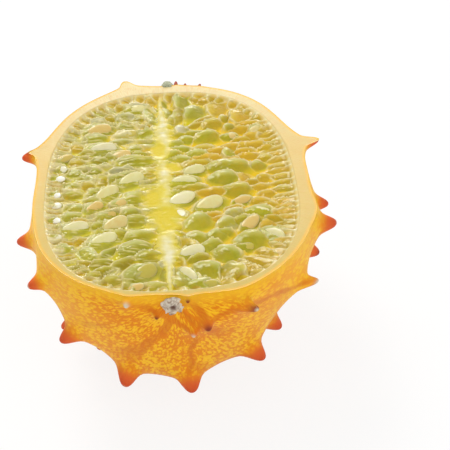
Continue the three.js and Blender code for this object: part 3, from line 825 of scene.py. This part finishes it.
def seed_pose(node):
    """Where a solid seed lies: its middle, its long, wide and thin ways, and half its sizes in mm."""
    points = np.array([v.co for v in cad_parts[node].data.vertices], float)
    axes = np.linalg.svd(points - points.mean(0), full_matrices=False)[2]
    spread = points @ axes.T
    centre = (spread.max(0) + spread.min(0)) / 2 @ axes
    lean = 1 if (spread[:, 0].max() + spread[:, 0].min()) / 2 >= points.mean(0) @ axes[0] else -1
    return (centre - np.array(middle)) / MM, axes, (spread.max(0) - spread.min(0)) / 2 / MM, lean


def seed_cells():
    """The sac that each seed lies in."""
    made = []
    for number in range(1, SEED_COUNT + 1):
        centre, axes, half = seed_pose(f"seed_{number:02d}")[:3]
        turn = math.degrees(math.atan2(axes[0, 1], axes[0, 0]))
        made.append((centre[0], centre[1], POUCH_LONG * half[0], POUCH_WIDE * half[1],
                     (turn + 90) % 180 - 90, *POUCH_RISE_AND_RIPENESS))
    return made


cells = SACS + seed_cells() + wall_cells
for scale in SCALES:
    cells = cells + small_cells(cells, scale)
cell_table = np.array(cells)
print("sacs: listed", len(SACS), "by the wall", len(wall_cells), "in all", len(cells))

# %% [markdown]
# ## The film over the sacs
#
# One wet film lies over all the sacs. On each of them it swells like a pillow that leans towards
# the blossom end, and between two of them it stands up as a thin wrinkled membrane. Over the core
# it is a ragged, frothy ridge, with a few flat pools of clear juice. A close net of points takes its
# height from the sac that each point lies over.

# %% The film's net
FILM_PITCH = 0.3         # mm, between points
FILM_OUTLINE = 900       # points round its edge
INTO_WALL = 0.8          # the film's edge is hidden this far inside the wall

grid_x, grid_y = staggered_grid(FILM_PITCH, FILM_PITCH * math.sqrt(3) / 2)
kept = inside_cut(grid_x, grid_y) > -INTO_WALL + FILM_PITCH
outline_angle = np.arange(FILM_OUTLINE) * 360 / FILM_OUTLINE
outline = surface_at(directions_at(outline_angle, 0 * outline_angle), CAVITY, -INTO_WALL)[0]
film_x = np.concatenate([grid_x[kept], outline[:, 0]])
film_y = np.concatenate([grid_y[kept], outline[:, 1]])
flat = np.stack([film_x, film_y, 0 * film_x], 1)
film_net = delaunay_2d_cdt([tuple(p) for p in flat[:, :2].tolist()], [], [], 0, 1e-9)[2]
print("film:", len(flat), "points,", len(film_net), "triangles")


# %% Sacs under the film
SWAY = 0.5               # mm, by which the borders between sacs wander
DOME_FOOT = 1.35         # of a sac's own outline, where its dome ends
AT_ONCE = 4000           # places worked out together, which keeps the tables small


def ripple(pitch, shift=0, across=1, along=1):
    """Noise over the film with that pitch in mm, drawn out where across or along is less than one."""
    return wrinkles(flat * [across, along, 1] + shift, pitch)


def nearest_cells(x, y, cells):
    """The nearest cell, its distance, and how much farther the next one is, for each place."""
    best, distance, gap = np.empty(len(x), int), np.empty(len(x)), np.empty(len(x))
    for start in range(0, len(x), AT_ONCE):
        part = slice(start, start + AT_ONCE)
        apart = cell_distances(x[part], y[part], cells)
        two = np.partition(apart, 1, axis=1)[:, :2]
        best[part], distance[part], gap[part] = apart.argmin(1), two[:, 0], two[:, 1] - two[:, 0]
    return best, distance, gap


film_cell, film_distance, film_gap = nearest_cells(
    film_x + SWAY * ripple(2.4), film_y + SWAY * ripple(2.4, 40), cells)
own = cell_table[film_cell]
half_wide = own[:, 3] / 2
leaning = np.radians(own[:, 4])
far_side = ((film_y - own[:, 1]) * np.cos(leaning) - (film_x - own[:, 0]) * np.sin(leaning)) / half_wide
far_side = np.clip(far_side, -1, 1)
dome = np.maximum(0, 1 - (film_distance / DOME_FOOT) ** 2) ** 0.8
inside_edge = (0.9 - film_distance) * half_wide
rim_of_sac = np.clip(1.6 * far_side + 0.2, 0, 1) * np.exp(-(inside_edge / 0.32) ** 2)
print("sacs under the film:", len(np.unique(film_cell)))

# %% Membranes between the sacs
MEMBRANE = 0.24          # mm, half its thickness; wider to the left and by the wall
to_wall = np.maximum(inside_cut(film_x, film_y), 0)
left = np.clip(-film_x / 10, 0, 1)
blossom_end = np.clip((-film_y - 20) / 12, 0, 1)
by_wall = np.exp(-to_wall / np.where(film_x > 0, 5.0, 3.5)) * (1 - 0.7 * blossom_end)
folded, fine = ripple(1.1, along=2.2), ripple(0.6, 9, along=1.6)
streaky, patchy = ripple(1.2, 12, 0.4, 2.4), ripple(3.0, 60)
# stronger in patches, on a sac's far side, by the wall and to the left; weaker at the blossom end
strong = 0.4 + 1.1 * patchy + 0.3 * far_side + 0.5 * by_wall + 0.3 * left - 0.2 * blossom_end
membrane = np.clip(strong, 0, 1) * np.exp(
    -(film_gap * half_wide / (MEMBRANE + 0.08 * left + 0.4 * by_wall)) ** 2)
print("share of the film that is membrane:", round(float((membrane > 0.5).mean()), 3))

# %% The core, its froth and its pools
CORE_WIDTHS = [  # mm along the fruit, and half the core's width there
    (-48, 0.6), (-36, 0.9), (-32, 2.2), (-28, 3.2), (-23, 2.6), (-5, 3.2), (5, 2.6), (20, 2.6),
    (34, 2.9), (42, 1.7), (48, 0.8), (56, 0.5),
]
POOLS = [  # across, along, half its width, half its length
    (-1.8, -12.0, 5.8, 7.5), (-4.5, -1.5, 3.6, 6.0), (-3.2, 24.0, 2.4, 4.5), (1.2, 14.5, 2.6, 3.2),
]
DEEPER = [  # the same, for areas where the jelly is a deeper green
    (-18, 16, 9, 12), (-12, 40, 9, 6), (-10, -33, 13, 10), (12, -33, 13, 11), (20, -20, 8, 8),
    (9, 44, 8, 9), (15, 8, 10, 9), (-8, -8, 7, 6),
]


def within(areas, ragged=0):
    """From 0 to 1 inside any of the oval areas."""
    return np.max([
        np.exp(-(((film_x - across) / half_across) ** 2 + ((film_y - along) / half_along) ** 2 + ragged) ** 2)
        for across, along, half_across, half_along in areas], axis=0)


core_middle = CORE_OFFSET + 0.9 * ripple(9.0, 20, across=0)
off_core = np.abs(film_x - core_middle) / np.interp(film_y, *zip(*CORE_WIDTHS))
ragged = ripple(0.9, 31, across=0.3) + 0.6 * ripple(2.5, 36, across=0.4)
core = 1 / (1 + np.exp(np.clip((off_core - 0.95 - 0.5 * ragged) / 0.22, -30, 30)))
pool = within(POOLS, 0.8 * ripple(3.5, 77))
froth = np.exp(-(off_core / 0.8) ** 2) * (1 - pool) * (0.75 + 0.2 * ragged + 0.4 * patchy)
deeper = within(DEEPER) * (0.75 + 0.5 * patchy)
print("share of core and pools:", round(float((np.maximum(core, pool) > 0.5).mean()), 3))

# %% Heights of the film
HIGHEST_FILM = 0.9       # mm above the cut
FILM_UNDERSIDE = -4.2
CORE_RISE, POOL_RISE = 0.9, 0.5    # above the hollows between the sacs
AT_WALL = -0.05                    # the film meets the wall just below the cut

pillow = own[:, 5] * dome * (0.85 + 0.6 * far_side) + 0.3 * rim_of_sac
level = PULP_LEVEL - 0.3 + np.exp(-to_wall / 2.5)
film_z = level + pillow + membrane * (0.45 + 0.2 * folded)
film_z = film_z + 0.04 * fine + 0.07 * folded + 0.14 * left * streaky
core_z = PULP_LEVEL + CORE_RISE + 0.15 * ripple(0.9, 5, along=0.3) + 0.05 * ragged
film_z = film_z * (1 - core) + core_z * core
film_z = film_z * (1 - pool) + (PULP_LEVEL + POOL_RISE) * pool
film_z = film_z + np.exp(-(to_wall / 0.6) ** 2) * (AT_WALL - film_z)
film_z = np.minimum(film_z, HIGHEST_FILM)

under_side = outline * [1, 1, 0] + [0, 0, FILM_UNDERSIDE]
film_points = np.concatenate([flat + np.outer(film_z, [0, 0, 1]), under_side, [[0, 0, FILM_UNDERSIDE]]])
edge = np.arange(len(flat) - FILM_OUTLINE, len(flat))
film_faces = [tuple(f) for f in film_net] + [tuple(f) for f in ring_faces(edge, edge + FILM_OUTLINE)]
film_faces += [
    (a, b, len(film_points) - 1) for a, b in zip(edge + FILM_OUTLINE, np.roll(edge, -1) + FILM_OUTLINE)]
print("film from", round(float(film_z.min()), 1), "to", round(float(film_z.max()), 1), "mm above the cut")

# %% [markdown]
# ## Jelly and membranes
#
# The juice in a sac is a clear jelly, green where it is thin and olive to amber where light has a
# long way through it, and the membrane round it is pale and wet. So the film passes light on over
# the sacs and is opaque where membranes meet, a glossy coat stands for the film of juice, and
# below it all lies the golden depth of the pulp. The far, upper part of each sac is painted paler
# and more opaque: a painted reflection of the white room.

# %% Juice jelly
SAC_STOPS = [(0.0, "#f2eec8"), (0.2, "#dfd648"), (0.4, "#cfcc14"), (0.55, "#dac814"), (0.75, "#f0cc12"),
             (1.0, "#fcd222")]
# pale colours painted on the far part of each sac: a painted reflection of the white room
PAINTED_SHEEN_STOPS = [(0.0, "#eae3c6"), (0.3, "#d8d994"), (0.6, "#dccf6a"), (1.0, "#e4c146")]
CORE_STOPS = [(0.0, "#d8c00c"), (0.3, "#dbc83e"), (0.7, "#ddd18c"), (1.0, "#e5deb8")]
CLOUD, RIPPLE = 3.0, 1.2           # mm, of darker and lighter juice, and of small waves on the film
CLEARNESS = 0.52                   # of the light that a sac passes on
PAINTED_SHEEN_CLOUD = 0.75                 # how opaque the painted sheen on the far part of a sac is
WET, FROTHY = 0.11, 0.4            # roughness of the film over sacs and over the core


def juice_jelly():
    """Clear jelly in thin membranes: small sharp highlights, and light from the bed under it."""
    material, tree = new_material("clear_film_of_juice")
    place = add(tree, "ShaderNodeTexCoord").outputs["Object"]
    ripeness, membrane_share, core_share, wall_share, painted_sheen, hollow, froth_share, deep, gold_share = (
        add(tree, "ShaderNodeAttribute", attribute_name=fact).outputs["Fac"]
        for fact in ("ripeness", "membrane", "core", "wall", "painted_sheen", "hollow", "froth", "deeper", "gold"))
    clouds = add(tree, "ShaderNodeTexNoise", {"Vector": place, "Scale": 1 / (CLOUD * MM), "Detail": 3.0})
    cloudy = add(tree, "ShaderNodeMath", {
        0: clouds.outputs["Fac"], 1: 0.5, 2: ripeness}, operation="MULTIPLY_ADD")
    riper = add(tree, "ShaderNodeMath", {0: cloudy.outputs[0], 1: 0.25}, operation="SUBTRACT")
    juice = add(tree, "ShaderNodeValToRGB", {"Fac": riper.outputs[0]}, SAC_STOPS)
    # colours of the painted sheen, a painted reflection on the far part of each sac
    thin = add(tree, "ShaderNodeValToRGB", {"Fac": riper.outputs[0]}, PAINTED_SHEEN_STOPS)
    depths = add(tree, "ShaderNodeMix", {
        "Factor": gold_share, 6: colour("#d8cc2c"), 7: colour("#f0c814")}, data_type="RGBA")
    core_shade = add(tree, "ShaderNodeValToRGB", {"Fac": froth_share}, CORE_STOPS)
    # from the juice up, each layer covers its share of what is under it
    shade = juice.outputs["Color"]
    for share, over in (
            (painted_sheen, thin.outputs["Color"]),
            (deep, colour("#acac0c")),
            (hollow, depths.outputs[2]),
            (core_share, core_shade.outputs["Color"]),
            (wall_share, colour("#e8cb7a")),
            (membrane_share, colour("#e6d9a2"))):
        shade = add(tree, "ShaderNodeMix", {"Factor": share, 6: shade, 7: over}, data_type="RGBA").outputs[2]
    # the painted sheen also makes the far part of a sac less clear
    painted_sheen_cloud = add(tree, "ShaderNodeMath", {0: painted_sheen, 1: PAINTED_SHEEN_CLOUD}, operation="MULTIPLY")
    solid = membrane_share
    for share in (core_share, wall_share, hollow, painted_sheen_cloud.outputs[0]):
        solid = add(tree, "ShaderNodeMath", {0: solid, 1: share}, operation="MAXIMUM").outputs[0]
    clear = add(tree, "ShaderNodeMapRange", {"Value": solid, "To Min": CLEARNESS, "To Max": 0.0})
    waves = add(tree, "ShaderNodeTexNoise", {"Vector": place, "Scale": 1 / (RIPPLE * MM), "Detail": 2.0})
    rough = add(tree, "ShaderNodeMapRange", {"Value": core_share, "To Min": WET, "To Max": FROTHY})
    surface = add(tree, "ShaderNodeBsdfPrincipled", {
        "Base Color": shade, "Roughness": rough.outputs[0], "IOR": 1.36, "Specular IOR Level": 0.26,
        "Subsurface Weight": 0.3, "Subsurface Radius": (1.0, 0.9, 0.2), "Subsurface Scale": 1.0 * MM,
        "Transmission Weight": clear.outputs[0], "Coat Weight": 0.15, "Coat Roughness": 0.06})
    end_with(tree, surface, waves.outputs["Fac"], 0.15 * MM)
    return material


jelly = juice_jelly()
print("nodes in the jelly's material:", len(jelly.node_tree.nodes))

# %% Lay the film over the pulp
under_film = np.zeros(FILM_OUTLINE + 1)            # the facts are all zero on its hidden side
film_facts = {fact: np.concatenate([values, under_film]) for fact, values in {
    "ripeness": own[:, 6] + 0.12 * np.clip(film_x / 15, 0, 1),
    "membrane": 0.95 * (1 - pool) * (1 - core) * np.max([
        membrane, 0.9 * rim_of_sac, 0.85 * left * np.clip(3 * streaky - 0.5, 0, 1)], axis=0),
    "core": np.maximum(core, pool),
    "wall": np.exp(-(to_wall / (0.8 + 1.3 * membrane)) ** 4),
    # painted sheen: paler on each sac's far part and more so to the left, a painted reflection of the white
    # room
    "painted_sheen": 0.85 * np.clip(1.6 * far_side - 0.05 + 0.2 * left, 0, 1) * dome ** 0.3,
    "hollow": 0.9 * np.clip((film_distance - 0.75) / 0.4, 0, 1),
    "froth": froth,
    "deeper": np.clip((0.25 + 0.4 * left) * deeper, 0, 1),
    "gold": np.clip(0.45 + film_x / 30 + ripple(9.0, 51), 0, 1),
}.items()}
film = make_piece("film_over_the_sacs", film_points, film_faces, [jelly], film_facts)
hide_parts("pulp")

# %% Golden bed under the film
BED_TOP, BED_BOTTOM = -3.0, FILM_UNDERSIDE - 1
BED_CLOUD = 5.0          # mm, of greener and more golden parts


def golden_depth():
    """Jelly too deep to see through: plain gold without a shine, seen through the film."""
    material, tree = new_material("golden_depth_of_the_pulp")
    place = add(tree, "ShaderNodeTexCoord").outputs["Object"]
    clouds = add(tree, "ShaderNodeTexNoise", {"Vector": place, "Scale": 1 / (BED_CLOUD * MM), "Detail": 3.0})
    shade = add(tree, "ShaderNodeValToRGB", {"Fac": clouds.outputs["Fac"]}, [
        (0.3, "#dbe01c"), (0.5, "#f2d810"), (0.7, "#fac00a")])
    surface = add(tree, "ShaderNodeBsdfPrincipled", {"Base Color": shade.outputs["Color"], "Roughness": 0.6})
    end_with(tree, surface)
    return material


def capped_rows(sides, count):
    """Faces over closed rows of points, with a cap on each end; the caps' middles are the last two points."""
    rows = [np.arange(sides) + sides * row for row in range(count)]
    faces = [tuple(q) for first, second in zip(rows, rows[1:]) for q in ring_faces(first, second)]
    faces += [(b, a, sides * count) for a, b in zip(rows[0], np.roll(rows[0], -1))]
    faces += [(a, b, sides * count + 1) for a, b in zip(rows[-1], np.roll(rows[-1], -1))]
    return faces


bed_edge = surface_at(directions_at(outline_angle, 0 * outline_angle), CAVITY, -0.3)[0]
bed_points = np.concatenate([
    bed_edge + [0, 0, BED_BOTTOM], bed_edge + [0, 0, BED_TOP], [[0, 0, BED_BOTTOM], [0, 0, BED_TOP]]])
make_piece("pulp_depth", bed_points, capped_rows(FILM_OUTLINE, 2), [golden_depth()])

# %% [markdown]
# ## Seeds
#
# A seed is flat and egg-shaped, 3.5 to 8 mm long, cream with a paler edge, and has a film of jelly
# on it. The solid seeds say where each one lies: their long, wide and thin ways are read from
# their points, and a finer seed is laid the same way. Some lie bare and look whitish, and others
# look tan or olive through the jelly. The small ones by the left wall are painted whitest of all:
# their own pale coat with a painted glint of wet reflection.

# %% Cream seed coat
SEED_TONES = {  # 0 whitish, 0.3 cream, 0.6 tan, 1 olive under jelly; seeds 7 to 13 by the left wall, at 0 and below, are their pale coat with a painted glint of wet reflection
    1: 0.3, 2: 0.8, 3: 0.5, 4: 0.5, 5: 0.05, 6: 0.7, 7: 0.0, 8: -0.1, 9: -0.1, 10: -0.05, 11: -0.1,
    12: 0.0, 13: 0.0, 14: 0.25, 15: 0.3, 16: 0.55, 17: 0.6, 18: 0.55, 19: 0.4, 20: 0.2, 21: 0.15,
    22: 0.15, 23: 0.85, 24: 0.55, 25: 0.4, 26: 0.5, 27: 0.25, 28: 0.2, 29: 0.1, 30: 0.3, 31: 0.05,
    32: 0.55, 33: 0.15, 34: 0.5, 35: 0.15, 36: 0.8, 37: 0.1, 38: 0.15, 39: 0.85,
}


def seed_coat():
    """A smooth coat wet with jelly: satin cream with a small sharp highlight."""
    material, tree = new_material("cream_seed_coat")
    place = add(tree, "ShaderNodeTexCoord").outputs["Object"]
    tone, edge_share, seam_share = (
        add(tree, "ShaderNodeAttribute", attribute_name=fact).outputs["Fac"]
        for fact in ("tone", "edge", "seam"))
    mottle = add(tree, "ShaderNodeTexNoise", {"Vector": place, "Scale": 1 / (1.5 * MM), "Detail": 3.0})
    mottled = add(tree, "ShaderNodeMath", {
        0: mottle.outputs["Fac"], 1: 0.3, 2: tone}, operation="MULTIPLY_ADD")
    # the whitest stop, #f8f5ea, is reached by the seeds by the left wall: a painted glint over their pale
    # coat
    coat = add(tree, "ShaderNodeValToRGB", {"Fac": mottled.outputs[0]}, [
        (0.0, "#f8f5ea"), (0.15, "#eee6c0"), (0.4, "#e0d994"), (0.7, "#dab75e"), (1.1, "#bfb03c")])
    shade = coat.outputs["Color"]
    for share, over in ((seam_share, colour("#b9a552")), (edge_share, colour("#f3ecd0"))):
        shade = add(tree, "ShaderNodeMix", {"Factor": share, 6: shade, 7: over}, data_type="RGBA").outputs[2]
    surface = add(tree, "ShaderNodeBsdfPrincipled", {
        "Base Color": shade, "Roughness": 0.3, "IOR": 1.45,
        "Subsurface Weight": 0.3, "Subsurface Radius": (1.0, 0.9, 0.6), "Subsurface Scale": 1 * MM,
        "Coat Weight": 0.4, "Coat Roughness": 0.08})
    end_with(tree, surface, mottle.outputs["Fac"], 0.08 * MM)
    return material


seed_finish = seed_coat()
print("nodes in the seeds' material:", len(seed_finish.node_tree.nodes))

# %% Fine seeds
SEED_AROUND, SEED_RINGS = 28, 14
THICKNESS = 0.7          # of the solid seed's
SEED_SHOWS = {           # mm, of its middle above the film
    2: -0.5, 7: -0.4, 8: -0.3, 9: -0.25, 10: -0.4, 11: -0.3, 12: -0.4, 23: -0.45, 24: -0.3, 26: -0.4,
    29: 0.0, 30: -0.2, 36: -0.5, 39: -0.45,
}
OTHERS_SHOW = (-0.8, -0.1)         # mm, from the lowest to the highest of the others


def fine_seed(node):
    """A finer seed that lies as the solid one does, in millimetres about the middle."""
    centre, axes, half, lean = seed_pose(node)
    along = np.linspace(0, math.pi, SEED_RINGS + 2)[1:-1]
    turns = np.arange(SEED_AROUND) * 2 * math.pi / SEED_AROUND
    x = np.cos(along)
    wide = np.sin(along) ** 0.9 * (1 - 0.12 * lean * x)
    thick = np.sin(along) ** 0.7
    bulge = np.sign(np.sin(turns)) * np.abs(np.sin(turns)) ** 0.8
    local = np.stack([np.repeat(x, SEED_AROUND) * half[0],
                      (wide[:, None] * np.cos(turns) * half[1]).ravel(),
                      (thick[:, None] * bulge * THICKNESS * half[2]).ravel()], 1)
    local = np.concatenate([local, [[half[0], 0, 0], [-half[0], 0, 0]]])
    if np.linalg.det(axes) < 0:
        axes = axes * [[1], [1], [-1]]
    sideways = np.tile(np.abs(np.cos(turns)), SEED_RINGS)
    facts = {"edge": np.concatenate([0.7 * sideways ** 20, [0, 0]]),
             "seam": np.concatenate([0.6 * np.exp(-((sideways - 0.85) / 0.06) ** 2), [0, 0]])}
    return local @ axes + centre, capped_rows(SEED_AROUND, SEED_RINGS), facts


def film_level(x, y):
    """The film's height near a place."""
    return float(film_z[np.hypot(film_x - x, film_y - y).argmin()])


for number in range(1, SEED_COUNT + 1):
    node = f"seed_{number:02d}"
    points, faces, facts = fine_seed(node)
    x, y, z = points.mean(0)
    shows = SEED_SHOWS.get(number, rng.uniform(*OTHERS_SHOW))
    points[:, 2] += film_level(x, y) + shows - z
    facts["tone"] = np.full(len(points), SEED_TONES[number])
    piece = make_piece(f"melon_{node}", points, faces, [seed_finish], facts)
    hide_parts(node)

# %% [markdown]
# ## Scar, stem end and dry tips
#
# Where the flower fell off, a small dry crust of grey-brown cork is left on the skin. At the other
# end the stem was cut to a short green-grey stub, with three dry red tips beside it. Each is a
# lumpy cap that stands on the skin and is dull, unlike the waxy skin round it.

# %% Dry cork
GRIT = 0.9               # mm, across a grain of cork


def dry_cork(name, light, dark):
    """Dry dead cork: rough and dull, in two tones, and darker towards the middle."""
    material, tree = new_material(name)
    place = add(tree, "ShaderNodeTexCoord").outputs["Object"]
    grit = add(tree, "ShaderNodeTexNoise", {
        "Vector": place, "Scale": 1 / (GRIT * MM), "Detail": 4.0, "Roughness": 0.7})
    shade = add(tree, "ShaderNodeValToRGB", {"Fac": grit.outputs["Fac"]}, [(0.35, dark), (0.55, light)])
    dark_middle = add(tree, "ShaderNodeAttribute", attribute_name="dark_middle").outputs["Fac"]
    whole = add(tree, "ShaderNodeMix", {
        "Factor": dark_middle, 6: shade.outputs["Color"], 7: colour("#63402f")}, data_type="RGBA")
    surface = add(tree, "ShaderNodeBsdfPrincipled", {"Base Color": whole.outputs[2], "Roughness": 0.85})
    end_with(tree, surface, grit.outputs["Fac"], 0.4 * MM)
    return material


grey_cork = dry_cork("dry_grey_cork", "#e2d7c4", "#9c8068")
green_cork = dry_cork("green_dry_stem", "#b9bc9c", "#7d8266")
red_cork = dry_cork("dry_red_tip", "#b04a2a", "#7c3b27")
print("dry materials:", grey_cork.name, green_cork.name, red_cork.name)

# %% Lumpy crusts
CRUST_RINGS, CRUST_SIDES = 24, 72
EDGE_SUNK = 0.9          # mm, below the skin
STEM_WAY = unit(np.array([0.8, BODY["stem"], -1.7]))
DRY_RED_TIPS = [  # across and down from the stem's end, width, and how far they stand out, in mm
    (3.3, 1.0, 1.6, 4.0), (6.0, 0.8, 1.2, 2.4), (10.2, 0.8, 1.2, 2.4),
]


def crust(name, material, way, width, height, proud, lumps, roundness, dish):
    """A lumpy cap on the skin where a direction meets it; its middle is sunk by the dish's share."""
    root, normal = surface_at(way[None], BODY)
    root = skin_over(root, normal)[0][0]
    normal = normal[0]
    side = unit(np.cross([0, 0, 1], normal))
    up = np.cross(normal, side)
    turns = np.arange(CRUST_SIDES) * 2 * math.pi / CRUST_SIDES
    ring = np.stack([np.cos(turns), np.sin(turns), 0 * turns], 1)
    points, dark_middle = [], []
    for share in np.arange(1, CRUST_RINGS + 1) / CRUST_RINGS:
        uneven = share * (1 + lumps * (0.4 * wrinkles(ring + 3, 1.1) + 0.2 * wrinkles(ring, 0.37) * share))
        spot = np.outer(width / 2 * uneven * np.cos(turns), side)
        spot = spot + np.outer(height / 2 * uneven * np.sin(turns), up)
        out = proud * (1 - share ** roundness - dish * math.exp(-(share / 0.25) ** 2))
        out = out + 0.5 * lumps * wrinkles(spot, 0.75) - (EDGE_SUNK if share == 1 else 0)
        points.append(root + spot + np.outer(out, normal))
        # darker towards the middle of each cap
        dark_middle.append(np.full(CRUST_SIDES, math.exp(-(share / 0.3) ** 2)))
    points = np.concatenate(points + [[root + (1 - dish) * proud * normal, root - 1.2 * normal]])
    dark_middle = np.concatenate(dark_middle + [[1, 0]])
    make_piece(name, points, capped_rows(CRUST_SIDES, CRUST_RINGS), [material], {"dark_middle": dark_middle})


crust("blossom_scar", grey_cork, SCAR_WAY, 6.0, 5.0, proud=1.0, lumps=1.0, roundness=2, dish=0.5)
crust("stem_end", green_cork, STEM_WAY, 4.4, 4.4, proud=4.6, lumps=0.5, roundness=6, dish=0.15)
for number, (across, down, width, proud) in enumerate(DRY_RED_TIPS, 1):
    crust(f"dry_tip_{number}", red_cork, unit(np.array([across, BODY["stem"], -down])), width, width,
          proud, lumps=0.2, roundness=2.5, dish=0)

# %% [markdown]
# ## Floor, light and camera
#
# The floor and the sky are white where the camera sees them, straight or through a reflection or
# the clear jelly, and the floor keeps a soft shadow. A bright sky and three broad soft lights show
# the colours about as they are written.

# %% Floor
FLOOR_REACH = 3.0        # metres each way
GLOW_SHARE = 0.85        # of plain white in the floor where it is seen; the rest of it takes shadow


def seen_as_background(tree):
    """One for a ray that shows the background to the camera, straight or by way of a wet surface."""
    path = add(tree, "ShaderNodeLightPath")
    seen = path.outputs["Is Camera Ray"]
    for ray in ("Is Glossy Ray", "Is Transmission Ray"):
        seen = add(tree, "ShaderNodeMath", {0: seen, 1: path.outputs[ray]}, operation="MAXIMUM").outputs[0]
    return seen


def white_paper():
    """Matte paper, seen nearly as plain white, that still takes the shadow of the fruit."""
    material, tree = new_material("white_paper")
    matte = add(tree, "ShaderNodeBsdfDiffuse", {"Color": colour("#fbfaf8")})
    glow = add(tree, "ShaderNodeEmission", {"Color": (1, 1, 1, 1), "Strength": 1.0})
    part = add(tree, "ShaderNodeMath", {0: seen_as_background(tree), 1: GLOW_SHARE}, operation="MULTIPLY")
    mixed = add(tree, "ShaderNodeMixShader", {0: part.outputs[0], 1: matte.outputs[0], 2: glow.outputs[0]})
    end_with(tree, mixed)
    return material


floor_mesh = bpy.data.meshes.new("floor")
corners = [(x * FLOOR_REACH, y * FLOOR_REACH, 0) for x, y in ((-1, -1), (1, -1), (1, 1), (-1, 1))]
floor_mesh.from_pydata(corners, [], [(0, 1, 2, 3)])
floor_mesh.materials.append(white_paper())
floor = bpy.data.objects.new("floor", floor_mesh)
bpy.context.scene.collection.objects.link(floor)
floor.location.z = cad_box[0].z
print("floor at", round(floor.location.z / MM, 2), "mm")

# %% Sky and soft lights
SKY_LIGHT, SKY_SEEN = 0.6, 1.0     # how bright the sky is as a light, and where it is seen

world = bpy.data.worlds.new("bright_room")
bpy.context.scene.world = world
world.use_nodes = True
sky_tree = world.node_tree
sky_tree.nodes.clear()
bright = add(sky_tree, "ShaderNodeMapRange", {
    "Value": seen_as_background(sky_tree), "To Min": SKY_LIGHT, "To Max": SKY_SEEN})
sky = add(sky_tree, "ShaderNodeBackground", {"Color": (1, 1, 1, 1), "Strength": bright.outputs[0]})
add(sky_tree, "ShaderNodeOutputWorld", {"Surface": sky.outputs[0]})


def soft_light(name, place, size, power):
    """A square soft light that looks at the fruit, from a place in metres from it."""
    lamp = bpy.data.lights.new(name, "AREA")
    lamp.energy, lamp.size = power, size
    made = bpy.data.objects.new(name, lamp)
    bpy.context.scene.collection.objects.link(made)
    made.location = middle + Vector(place)
    made.rotation_mode = "QUATERNION"
    made.rotation_quaternion = (middle - made.location).to_track_quat("-Z", "Y")


soft_light("window", (-0.3, 0.5, 0.8), 0.4, 4.9)
soft_light("fill", (0.4, -0.8, 0.5), 0.8, 2.6)
soft_light("far_wall", (0.1, 1.2, 0.17), 0.5, 3.0)
print("lights:", len(bpy.data.lights))

# %% Camera
VIEW_DOWN = 31.0         # degrees
VIEW_ROLL = -3.3
VIEW_DISTANCE = 0.4      # metres from the middle of the cut face
LENS = 119.0             # mm, on a 36 mm sensor
AIM_RIGHT, AIM_DOWN = 14.6, 9.3    # mm from the middle of the cut face to the middle of the view

down_angle, roll = math.radians(VIEW_DOWN), math.radians(VIEW_ROLL)
back = Vector((0, -math.cos(down_angle), math.sin(down_angle)))
right = Vector((0, 0, 1)).cross(back).normalized()
upward = back.cross(right)
rolled_right = math.cos(roll) * right + math.sin(roll) * upward
rolled_up = back.cross(rolled_right)
eye = middle + back * VIEW_DISTANCE
aim = middle + rolled_right * AIM_RIGHT * MM - rolled_up * AIM_DOWN * MM
look_back = (eye - aim).normalized()
look_right = rolled_up.cross(look_back).normalized()
look_up = look_back.cross(look_right)
camera = bpy.data.objects.new("camera", bpy.data.cameras.new("camera"))
camera.data.lens = LENS
camera.data.clip_start, camera.data.clip_end = 0.01, 20.0
camera.matrix_world = Matrix((look_right, look_up, look_back)).transposed().to_4x4()
camera.location = eye
bpy.context.scene.collection.objects.link(camera)
bpy.context.scene.camera = camera
bpy.context.scene.view_settings.view_transform = "Standard"
print("camera, metres:", [round(c, 3) for c in eye])

# %% The size of the CAD box
print("CAD box:", [[round(c / MM, 1) for c in corner] for corner in cad_box])
